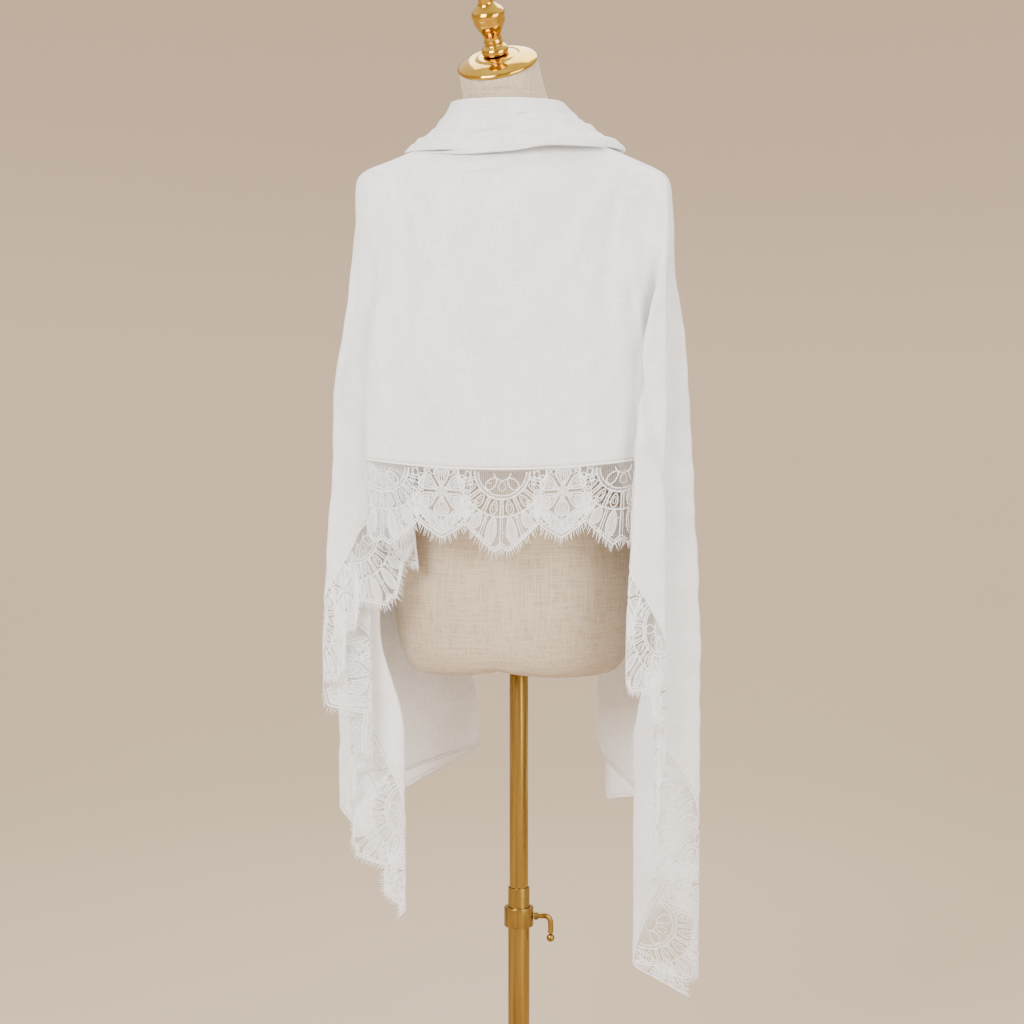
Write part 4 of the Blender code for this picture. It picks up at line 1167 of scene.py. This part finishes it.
def eyelash_fringe(name, first_s, last_s):
    """Thin threads that stand out from the scalloped edge, of uneven length and lean."""
    points = []
    half_and_lift = []
    faces = []
    count = int((last_s - first_s) / FRINGE_PITCH)
    for k in range(count):
        s = first_s + (k + 0.5) * FRINGE_PITCH
        slope = float(scallop(s + 0.001) - scallop(s - 0.001)) / 0.002
        length = random.uniform(*FRINGE_LENGTHS)
        lean = math.radians(random.gauss(0.0, FRINGE_LEAN)) - math.atan(slope) * 0.45
        curl = random.gauss(0.0, FRINGE_CURL)
        w = float(scallop(s)) - 0.0008
        for share, half in FRINGE_TAPER:
            along = length * share
            a = s + math.sin(lean) * along + curl * share * share
            b = w + math.cos(lean) * along
            points.append((a, b))
            half_and_lift.append((half, curl * 0.9 * share * share))
    flat = np.array(points)
    extra = np.array(half_and_lift)
    places, normals = drape.flat(flat[:, 0], flat[:, 1])
    places = places + normals * extra[:, 1:2]
    tangents = np.empty_like(places)
    for k in range(count):
        tangents[3 * k : 3 * k + 3] = np.gradient(places[3 * k : 3 * k + 3], axis=0)
        base = 9 * k
        for ring_start in (base, base + 3):
            for i in range(3):
                a = ring_start + i
                b = ring_start + (i + 1) % 3
                faces.append((a, a + 3, b + 3, b))
        faces.append((base, base + 1, base + 2))
        faces.append((base + 8, base + 7, base + 6))
    across = unit(np.cross(unit(tangents), normals))
    half = extra[:, 0:1]
    ring = [places + across * half]
    ring.append(places - across * half * 0.5 + normals * half * 0.87)
    ring.append(places - across * half * 0.5 - normals * half * 0.87)
    vertices = np.stack(ring, axis=1).reshape(-1, 3)
    uvs = np.repeat(flat, 3, axis=0)
    return mesh_piece(name, vertices, faces, THREAD, uvs)


BAND_HALF = 0.0019
BAND_W = 0.0008
BAND_CORD_W = -0.0016
STITCH_W = -0.0042
STITCH_PITCH = 0.0034
STITCH_HALF = 0.00032


def heading(first_s, last_s):
    """The narrow band that joins lace and voile, with its cord and its row of stitches."""
    count = int((last_s - first_s) / POINT_STEP)
    s = np.linspace(first_s, last_s, count)
    lines = [line_along(s, np.full(count, BAND_W), BAND_HALF)]
    lines.append(line_along(s, np.full(count, BAND_CORD_W), 0.0006))
    for k in range(int((last_s - first_s) / STITCH_PITCH)):
        a = first_s + k * STITCH_PITCH
        lines.append(line_along([a + 0.0004, a + 0.0028], [STITCH_W, STITCH_W], STITCH_HALF))
    return lines


Stretch = namedtuple("Stretch", "name first_s last_s")
STRETCHES = (
    Stretch("left", PANEL_LEFT_S - LEFT_REACH, PANEL_LEFT_S),
    Stretch("front", PANEL_LEFT_S, PANEL_RIGHT_S),
    Stretch("right", PANEL_RIGHT_S, PANEL_RIGHT_S + RIGHT_REACH),
)


END_IN = 0.0012
END_POINTS = 26


def lace_stretch(stretch):
    """Net, threads, clothwork, heading and fringe of one stretch of lace."""
    first_s = stretch.first_s
    last_s = stretch.last_s
    lines = []
    for k in motif_numbers(first_s, last_s):
        lines += medallion_lines(k * REPEAT)
        lines += flower_lines((k + 0.5) * REPEAT)
        lines += valley_lines(k * REPEAT, 1) + valley_lines(k * REPEAT, -1)
    lines += edge_lines(first_s, last_s)
    lines += net_ties(first_s, last_s)
    lines = clipped(lines, first_s, last_s)
    if stretch.name != "front":
        limit = first_s + END_IN if stretch.name == "left" else last_s - END_IN
        depth = np.linspace(0.0, float(scallop(limit)) - EDGE_IN, END_POINTS)
        lines.append(line_along(np.full(END_POINTS, limit), depth, CORD))
    net = net_ground(stretch.name + "_lace_net", first_s, last_s)
    threads = thread_mesh(stretch.name + "_lace_threads", lines, THREAD)
    work = clothwork(stretch.name + "_lace_clothwork", first_s, last_s)
    band = thread_mesh(stretch.name + "_lace_heading", heading(first_s, last_s), THREAD, 0.45)
    fringe = eyelash_fringe(stretch.name + "_eyelashes", first_s, last_s)
    return net, threads, work, band, fringe


HEM_HALF = 0.0026
HEM_FLATNESS = 0.28
HEM_STITCH_PITCH = 0.0036
PLAIN_EDGE_W = -(JOIN_DROP + PLAIN_DROP)
# Where the plain edge goes in under the collar, from the panel's side
HEM_TOP = 0.075


def fall_hems(name, side, start_s, reach):
    """The rolled hem down the short end and along the plain long edge of a fall."""
    limit = start_s + side * (reach - HEM_HALF)
    down = np.linspace(-0.003, PLAIN_EDGE_W + HEM_HALF, 190)
    back = np.linspace(limit, start_s + side * HEM_TOP, 210)
    lines = [
        line_along(np.full(len(down), limit), down, HEM_HALF),
        line_along(back, np.full(len(back), PLAIN_EDGE_W + HEM_HALF), HEM_HALF),
    ]
    inset = limit - side * 0.0036
    for k in range(int((JOIN_DROP + PLAIN_DROP) / HEM_STITCH_PITCH) - 2):
        w = PLAIN_EDGE_W + 0.006 + HEM_STITCH_PITCH * k
        lines.append(line_along([inset, inset], [w, w + 0.0026], 0.0003))
    return thread_mesh(name, lines, VOILE, HEM_FLATNESS)


# Dress form

Ring = namedtuple("Ring", "z half front back")
FORM_RINGS = (
    Ring(0.690, 0.036, 0.034, 0.034),
    Ring(0.689, 0.080, 0.058, 0.058),
    Ring(0.692, 0.122, 0.086, 0.086),
    Ring(0.703, 0.141, 0.100, 0.100),
    Ring(0.730, 0.153, 0.109, 0.110),
    Ring(0.790, 0.159, 0.114, 0.116),
    Ring(0.860, 0.155, 0.111, 0.112),
    Ring(0.930, 0.139, 0.103, 0.099),
    Ring(1.000, 0.126, 0.098, 0.090),
    Ring(1.080, 0.130, 0.104, 0.092),
    Ring(1.160, 0.142, 0.112, 0.097),
    Ring(1.220, 0.155, 0.106, 0.098),
    Ring(1.270, 0.172, 0.094, 0.092),
    Ring(1.310, 0.1832, 0.0840, 0.0860),
    Ring(1.323, 0.1770, 0.0811, 0.0831),
    Ring(1.331, 0.1621, 0.0743, 0.0761),
    Ring(1.340, 0.1429, 0.0655, 0.0671),
    Ring(1.352, 0.1194, 0.0548, 0.0561),
    Ring(1.362, 0.0953, 0.0530, 0.0530),
    Ring(1.385, 0.0600, 0.0580, 0.0580),
)
FORM_SIDES = 112
FORM_STEPS = 5
LOBE_DROP = 0.012
NOTCH_TURN = math.radians(-15.0)
NECK_ROWS = 12
NECK_WAIST = 0.035
COVER_INSET = 0.0002


def linen_body():
    """The linen cover: rings up the body, its lower edge cut in lobes, and the neck up to its cap."""
    turns = np.linspace(0.0, 2.0 * math.pi, FORM_SIDES, endpoint=False)
    rows = smooth_rows(FORM_RINGS, FORM_STEPS)
    lobes = 4 * FORM_STEPS
    points = []
    for index, (z, half, front, back) in enumerate(rows):
        centre = NECK_X if z < 1.36 else between(NECK_X, -0.010, (z - 1.36) / 0.025)
        sizes = (half - COVER_INSET, front - COVER_INSET, back - COVER_INSET)
        x, y = oval(centre, 0.0, *sizes, turns)
        drop = math.sin(math.pi * min(index / lobes, 1.0)) ** 0.8
        side = np.abs(np.sin(turns - NOTCH_TURN)) ** 0.7
        points.append(np.stack([x, y, z - LOBE_DROP * drop * side], axis=1))
    cap_ring = cap_circle(CAP_RADIUS - 0.001, turns, -0.0005)
    base = points[-1]
    for step in range(1, NECK_ROWS + 1):
        share = step / NECK_ROWS
        blend = between(base, cap_ring, share)
        waist = 1.0 - NECK_WAIST * math.sin(math.pi * share)
        middle = blend.mean(axis=0)
        points.append(middle + (blend - middle) * waist)
    points = np.concatenate(points)
    faces = [face[::-1] for face in grid_faces(len(points) // FORM_SIDES, FORM_SIDES, closed_round=True)]
    foot = len(points)
    low = points[:FORM_SIDES].mean(axis=0)
    high = points[-FORM_SIDES:].mean(axis=0)
    points = np.vstack([points, low, high])
    top = foot - FORM_SIDES
    for j in range(FORM_SIDES):
        k = (j + 1) % FORM_SIDES
        faces.append((foot, k, j))
        faces.append((foot + 1, top + j, top + k))
    return mesh_piece("linen_body", points, faces, LINEN)


def cap_circle(radius, turns, rise):
    """A circle of points round the leaning axis of the neck's cap."""
    across = Vector((1.0, 0.0, 0.0))
    side = np.array((across - CAP_AXIS * across.dot(CAP_AXIS)).normalized())
    back = np.cross(np.array(CAP_AXIS), side)
    centre = np.array(CAP_CENTRE + CAP_AXIS * rise)
    return centre + np.outer(np.sin(turns) * radius, side) - np.outer(np.cos(turns) * radius, back)


# Turned metal pieces

Turn = namedtuple("Turn", "radius rise")
CAP_PROFILE = (
    Turn(0.0490, 0.0000),
    Turn(0.0515, 0.0003),
    Turn(0.0522, 0.0020),
    Turn(0.0519, 0.0036),
    Turn(0.0500, 0.0058),
    Turn(0.0465, 0.0082),
    Turn(0.0400, 0.0106),
    Turn(0.0335, 0.0122),
    Turn(0.0305, 0.0126),
    Turn(0.0292, 0.0116),
    Turn(0.0280, 0.0111),
    Turn(0.0270, 0.0118),
    Turn(0.0255, 0.0131),
    Turn(0.0200, 0.0144),
    Turn(0.0120, 0.0151),
    Turn(0.0, 0.0155),
)
FINIAL_PROFILE = (
    Turn(0.0150, 0.0158),
    Turn(0.0170, 0.0161),
    Turn(0.0177, 0.0185),
    Turn(0.0175, 0.0215),
    Turn(0.0160, 0.0245),
    Turn(0.0120, 0.0272),
    Turn(0.0108, 0.0290),
    Turn(0.0124, 0.0308),
    Turn(0.0127, 0.0326),
    Turn(0.0110, 0.0345),
    Turn(0.0107, 0.0385),
    Turn(0.0124, 0.0425),
    Turn(0.0165, 0.0495),
    Turn(0.0200, 0.0570),
    Turn(0.0208, 0.0600),
    Turn(0.0199, 0.0625),
    Turn(0.0214, 0.0655),
    Turn(0.0216, 0.0690),
    Turn(0.0207, 0.0725),
    Turn(0.0160, 0.0770),
    Turn(0.0105, 0.0815),
    Turn(0.0090, 0.0850),
    Turn(0.0098, 0.0885),
    Turn(0.0095, 0.0920),
    Turn(0.0062, 0.0965),
    Turn(0.0, 0.0985),
)


def recalculated(obj):
    """The piece with all its faces pointing outwards."""
    deselect()
    obj.select_set(True)
    bpy.context.view_layer.objects.active = obj
    bpy.ops.object.mode_set(mode="EDIT")
    bpy.ops.mesh.select_all(action="SELECT")
    bpy.ops.mesh.normals_make_consistent(inside=False)
    bpy.ops.object.mode_set(mode="OBJECT")
    return obj


def deselect():
    if bpy.context.object and bpy.context.object.mode == "EDIT":
        bpy.ops.object.mode_set(mode="OBJECT")
    bpy.ops.object.select_all(action="DESELECT")


def turned_piece(name, profile, sides, finish, smooth_levels=0, angle=40.0):
    """A disc drawn up ring by ring along its profile, as on a lathe, and closed at its top."""
    deselect()
    bpy.ops.mesh.primitive_circle_add(
        vertices=sides, radius=profile[0].radius, fill_type="NGON", location=(0.0, 0.0, profile[0].rise)
    )
    obj = bpy.context.object
    obj.name = name
    bpy.ops.object.transform_apply(location=True, rotation=False, scale=False)
    bpy.ops.object.mode_set(mode="EDIT")
    bpy.ops.mesh.select_all(action="SELECT")
    for low, high in zip(profile, profile[1:]):
        rise = high.rise - low.rise
        bpy.ops.mesh.extrude_region_move(TRANSFORM_OT_translate={"value": (0.0, 0.0, rise)})
        if high.radius == 0.0:
            bpy.ops.mesh.merge(type="COLLAPSE")
        else:
            size = high.radius / low.radius
            bpy.ops.transform.resize(value=(size, size, 1.0), center_override=(0.0, 0.0, high.rise))
    bpy.ops.object.mode_set(mode="OBJECT")
    finish_piece(recalculated(obj), finish, smooth_levels, angle)
    return obj


def finish_piece(obj, finish, smooth_levels=0, angle=40.0, bevel=0.0):
    """Bevel and subdivision applied, smooth shading, and the material."""
    bpy.context.view_layer.objects.active = obj
    if bevel:
        edge = obj.modifiers.new("edge", "BEVEL")
        edge.width = bevel
        edge.segments = 3
        edge.limit_method = "ANGLE"
        bpy.ops.object.modifier_apply(modifier=edge.name)
    if smooth_levels:
        divide = obj.modifiers.new("round", "SUBSURF")
        divide.levels = smooth_levels
        divide.render_levels = smooth_levels
        bpy.ops.object.modifier_apply(modifier=divide.name)
    obj.select_set(True)
    bpy.ops.object.shade_smooth_by_angle(angle=math.radians(angle))
    obj.data.materials.clear()
    obj.data.materials.append(finish)
    obj.select_set(False)


def placed_on_cap(obj):
    obj.rotation_mode = "QUATERNION"
    obj.rotation_quaternion = Vector((0.0, 0.0, 1.0)).rotation_difference(CAP_AXIS)
    obj.location = CAP_CENTRE
    deselect()
    obj.select_set(True)
    bpy.context.view_layer.objects.active = obj
    bpy.ops.object.transform_apply(location=True, rotation=True, scale=False)
    return obj


# Stand sizes
INNER_RADIUS = 0.0123
OUTER_RADIUS = 0.0142
BORE_RADIUS = 0.0127
OUTER_TOP = 0.392
INNER_FOOT = 0.200
SOCKET_FOOT = 0.6796
BASE_RADIUS = 0.150
BASE_THICK = 0.012
BOSS_TOP = 0.032
SEAT_GAP = 0.0004
BAND_RADIUS = 0.0195
BAND_FOOT = 0.340
BAND_TOP = 0.366
SOCKET_RADIUS = 0.030
SOCKET_TOP = 0.6896
LEVER_Z = 0.353
LEVER_X = 0.042
LEVER_RADIUS = 0.0036
KNOB_RADIUS = 0.0054
# The lever's line from its collar, out and then down
LEVER_ROUTE = (
    (0.0200, LEVER_Z),
    (0.0280, LEVER_Z),
    (0.0340, LEVER_Z),
    (0.0382, 0.3515),
    (0.0408, 0.3485),
    (LEVER_X, 0.3440),
    (0.0422, 0.3360),
    (LEVER_X, 0.3300),
)


def base_piece():
    """The round base with its softened rim and the boss that holds the outer tube."""
    profile = (
        Turn(BASE_RADIUS - 0.0012, 0.0),
        Turn(BASE_RADIUS, 0.0012),
        Turn(BASE_RADIUS, BASE_THICK - 0.0040),
        Turn(BASE_RADIUS - 0.0010, BASE_THICK - 0.0015),
        Turn(BASE_RADIUS - 0.0035, BASE_THICK),
        Turn(0.034, BASE_THICK),
        Turn(0.0305, BASE_THICK + 0.0015),
        Turn(0.0285, BASE_THICK + 0.0060),
        Turn(0.0255, BASE_THICK + 0.0150),
        Turn(0.0245, BOSS_TOP - 0.0020),
        Turn(0.0225, BOSS_TOP),
        Turn(0.0, BOSS_TOP),
    )
    return turned_piece("stand_base", profile, 128, SATIN, 0, 25.0)


def tube_piece(name, bore, radius, low, high, lip):
    """A rod with rounded rims, or with a bore, a tube whose ends are inset and joined through it."""
    deselect()
    middle = (0.0, 0.0, (low + high) / 2)
    bpy.ops.mesh.primitive_cylinder_add(
        vertices=96, radius=radius, depth=high - low, end_fill_type="NGON", location=middle
    )
    obj = bpy.context.object
    obj.name = name
    bpy.ops.object.transform_apply(location=True, rotation=False, scale=False)
    if bore:
        bpy.ops.object.mode_set(mode="EDIT")
        bpy.ops.mesh.select_mode(type="FACE")
        bpy.ops.mesh.select_all(action="DESELECT")
        bpy.ops.object.mode_set(mode="OBJECT")
        for polygon in obj.data.polygons:
            polygon.select = abs(polygon.normal.z) > 0.9
        bpy.ops.object.mode_set(mode="EDIT")
        bpy.ops.mesh.inset(thickness=radius - bore)
        bpy.ops.mesh.bridge_edge_loops()
        bpy.ops.object.mode_set(mode="OBJECT")
        recalculated(obj)
    finish_piece(obj, SATIN, 0, 30.0, lip)
    return obj


def clamp_band():
    """The collar that closes on the outer tube."""
    return tube_piece("clamp_band", OUTER_RADIUS + SEAT_GAP, BAND_RADIUS, BAND_FOOT, BAND_TOP, 0.0012)


def lever_piece():
    """A rod bent down to a ball end, on its screw head."""
    points = smooth_rows(LEVER_ROUTE, 5)
    places = np.stack([points[:, 0], np.zeros(len(points)), points[:, 1]], axis=1)
    rod = swept_upright("lever_rod", places, LEVER_RADIUS, 20)
    deselect()
    bpy.ops.mesh.primitive_uv_sphere_add(
        segments=32, ring_count=20, radius=KNOB_RADIUS, location=(LEVER_X, 0.0, 0.3235)
    )
    ball = bpy.context.object
    ball.name = "lever_ball"
    bpy.ops.object.transform_apply(location=True, rotation=False, scale=False)
    finish_piece(ball, SATIN)
    deselect()
    bpy.ops.mesh.primitive_cylinder_add(
        vertices=40,
        radius=KNOB_RADIUS,
        depth=0.0050,
        location=(0.0228, 0.0, LEVER_Z),
        rotation=(0.0, math.pi / 2, 0.0),
    )
    head = bpy.context.object
    head.name = "lever_screw_head"
    bpy.ops.object.transform_apply(location=True, rotation=True, scale=False)
    finish_piece(head, SATIN, 0, 30.0, 0.0008)
    return rod, ball, head


def swept_upright(name, points, radius, sides):
    """A round rod along a line that lies in the plane y = 0."""
    tangents = np.gradient(points, axis=0)
    tangents /= np.linalg.norm(tangents, axis=1, keepdims=True)
    across = np.array([0.0, 1.0, 0.0])
    up = np.cross(tangents, across)
    rings = []
    for k in range(sides):
        turn = 2.0 * math.pi * k / sides
        rings.append(points + (across * math.cos(turn) + up * math.sin(turn)) * radius)
    vertices = np.stack(rings, axis=1).reshape(-1, 3)
    faces = grid_faces(len(points), sides, closed_round=True)
    faces.append(tuple(range(sides)))
    faces.append(tuple(reversed(range(len(vertices) - sides, len(vertices)))))
    return recalculated(mesh_piece(name, vertices, faces, SATIN))


# Stage


def stage_material(name, low, high):
    """Matt paper with painted shade: its colour runs from darker on the floor to lighter at the height of
    the cloth.
    """
    made, tree, shader = tree_of(name)
    place = node(tree, "ShaderNodeTexCoord").outputs["Object"]
    height = node(tree, "ShaderNodeSeparateXYZ", [("Vector", place)]).outputs["Z"]
    # Painted shade: the colour darkens from the height of the cloth down to the floor
    tone = ramp(tree, height, low, high, 0.02, 1.0)
    tree.links.new(tone, shader.inputs["Base Color"])
    shader.inputs["Roughness"].default_value = 0.95
    shader.inputs["Specular IOR Level"].default_value = 0.1
    return made


# The floor is wide enough for the camera to stand inside the bowl in every view
FLOOR_RADIUS = 2.4
COVE_RADIUS = 4.4
COVE_STEPS = 16
STAGE_SIDES = 96
# Backdrop colours: the darker floor colour is painted shade, the lighter wall colour painted light
SHADED_FLOOR_TONE = (0.500, 0.390, 0.275, 1.0)
LIT_WALL_TONE = (0.670, 0.535, 0.395, 1.0)
SKY_LOW = (0.30, 0.26, 0.22, 1.0)
SKY_HIGH = (1.0, 0.97, 0.93, 1.0)
SKY_STRENGTH = 1.4
Lamp = namedtuple("Lamp", "name place target size power")
LAMPS = (
    Lamp("key", (-1.9, -2.6, 2.5), (0.0, 0.0, 1.0), 1.8, 205.0),
    Lamp("fill", (2.3, -2.3, 1.7), (0.0, 0.0, 0.9), 2.2, 120.0),
    Lamp("back", (0.3, 1.6, 3.3), (0.0, 0.6, 0.6), 2.4, 95.0),
)
CAMERA_PLACE = (-0.009, -3.0, 1.119)
CAMERA_DIP = 4.4
# Half the width that the camera sees at the pole
VIEW_HALF = 0.6656


def studio_bowl():
    """A pale floor that curves up all round."""
    pale = stage_material("pale_backdrop", SHADED_FLOOR_TONE, LIT_WALL_TONE)
    profile = [(0.5, 0.0), (FLOOR_RADIUS, 0.0)]
    for k in range(1, COVE_STEPS + 1):
        turn = math.pi / 2 * k / COVE_STEPS
        out = FLOOR_RADIUS + COVE_RADIUS * math.sin(turn)
        profile.append((out, COVE_RADIUS * (1.0 - math.cos(turn))))
    points = []
    for radius, z in profile:
        for k in range(STAGE_SIDES):
            turn = 2.0 * math.pi * k / STAGE_SIDES
            points.append((radius * math.cos(turn), radius * math.sin(turn), z))
    faces = grid_faces(len(profile), STAGE_SIDES, closed_round=True)
    faces.append(tuple(range(STAGE_SIDES)))
    mesh_piece("studio_bowl", points, faces, pale)


def studio_light():
    """A soft sky, brighter overhead, and three broad lamps."""
    world = bpy.data.worlds.new("studio")
    bpy.context.scene.world = world
    world.use_nodes = True
    tree = world.node_tree
    way = node(tree, "ShaderNodeTexCoord").outputs["Generated"]
    tilted = node(tree, "ShaderNodeVectorMath", [("Vector", way)], operation="DOT_PRODUCT")
    tilted.inputs[1].default_value = (0.0, 0.45, 0.89)
    glow = ramp(tree, tilted.outputs["Value"], SKY_LOW, SKY_HIGH, 0.0, 0.55)
    tree.links.new(glow, tree.nodes["Background"].inputs["Color"])
    tree.nodes["Background"].inputs["Strength"].default_value = SKY_STRENGTH
    for name, place, target, size, power in LAMPS:
        lamp = bpy.data.lights.new(name, "AREA")
        lamp.size = size
        lamp.energy = power
        obj = bpy.data.objects.new(name, lamp)
        obj.location = place
        obj.rotation_euler = (Vector(target) - Vector(place)).to_track_quat("-Z", "Y").to_euler()
        bpy.context.scene.collection.objects.link(obj)


def studio_camera():
    """The camera at the photo's viewing angle."""
    eye = bpy.data.cameras.new("camera")
    eye.sensor_fit = "HORIZONTAL"
    eye.angle = 2.0 * math.atan(VIEW_HALF / -CAMERA_PLACE[1])
    camera = bpy.data.objects.new("camera", eye)
    camera.location = CAMERA_PLACE
    camera.rotation_euler = (math.radians(90.0 - CAMERA_DIP), 0.0, 0.0)
    bpy.context.scene.collection.objects.link(camera)
    bpy.context.scene.camera = camera


# Assembly

# CAD nodes of each stretch of lace: the lace itself, then its fringe
LACE_NODES = {
    "left": ("left_lace", "left_fringe_1", "left_fringe_2", "left_fringe_4"),
    "front": ("front_lace", "front_fringe"),
    "right": ("right_lace", "right_fringe_1", "right_fringe_2", "right_fringe_3"),
}


def dress(piece, body="form"):
    """The piece with its body to move with."""
    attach(piece, body)
    return piece


def hung_length(first_s, last_s):
    """Length of the lace as it hangs, along a line through its motifs."""
    s = np.linspace(first_s, last_s, 400)
    places = drape.flat(s, np.full_like(s, 0.040))[0]
    return float(np.linalg.norm(np.diff(places, axis=0), axis=1).sum())


def build_shawl():
    shawl = voile_shell()
    collar = rolled_collar()
    roll = collar_under_roll()
    left_hems = fall_hems("left_hems", -1, PANEL_LEFT_S, LEFT_REACH)
    right_hems = fall_hems("right_hems", 1, PANEL_RIGHT_S, RIGHT_REACH)
    for piece in (shawl, collar, roll, left_hems, right_hems):
        dress(piece)
    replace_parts(shawl, "left_fall", "right_fall", "front_panel")
    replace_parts(collar, "cowl")
    for stretch in STRETCHES:
        pieces = lace_stretch(stretch)
        for piece in pieces:
            dress(piece)
        net, threads, work, band, fringe = pieces
        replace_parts(net, LACE_NODES[stretch.name][0])
        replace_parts(fringe, *LACE_NODES[stretch.name][1:])
        length = hung_length(stretch.first_s, stretch.last_s)


def build_form_and_stand():
    body = dress(linen_body())
    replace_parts(body, "dress_form")
    cap = placed_on_cap(turned_piece("turned_cap", CAP_PROFILE, 96, POLISHED, 1, 60.0))
    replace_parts(dress(cap), "neck_cap")
    finial = placed_on_cap(turned_piece("turned_finial", FINIAL_PROFILE, 64, POLISHED, 1, 60.0))
    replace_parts(dress(finial), "finial")
    socket = tube_piece("form_socket", 0.0, SOCKET_RADIUS, SOCKET_FOOT, SOCKET_TOP, 0.0030)
    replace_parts(dress(socket), "pole_socket")
    inner = tube_piece("inner_pole", 0.0, INNER_RADIUS, INNER_FOOT, SOCKET_FOOT - SEAT_GAP, 0.0010)
    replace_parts(dress(inner, "mast"), "inner_tube")
    outer = tube_piece("outer_pole", BORE_RADIUS, OUTER_RADIUS, BOSS_TOP + SEAT_GAP, OUTER_TOP, 0.0003)
    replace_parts(dress(outer, "base"), "outer_tube")
    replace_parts(dress(base_piece(), "base"), "base_plate")
    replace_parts(dress(clamp_band(), "base"), "clamp_collar")
    rod, ball, head = lever_piece()
    for piece in (rod, ball, head):
        dress(piece, "lever")
    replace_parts(rod, "clamp_lever")


def main():
    studio_bowl()
    studio_light()
    studio_camera()
    build_form_and_stand()
    build_shawl()


def plain(box):
    return [[float(value) for value in corner] for corner in box]


main()
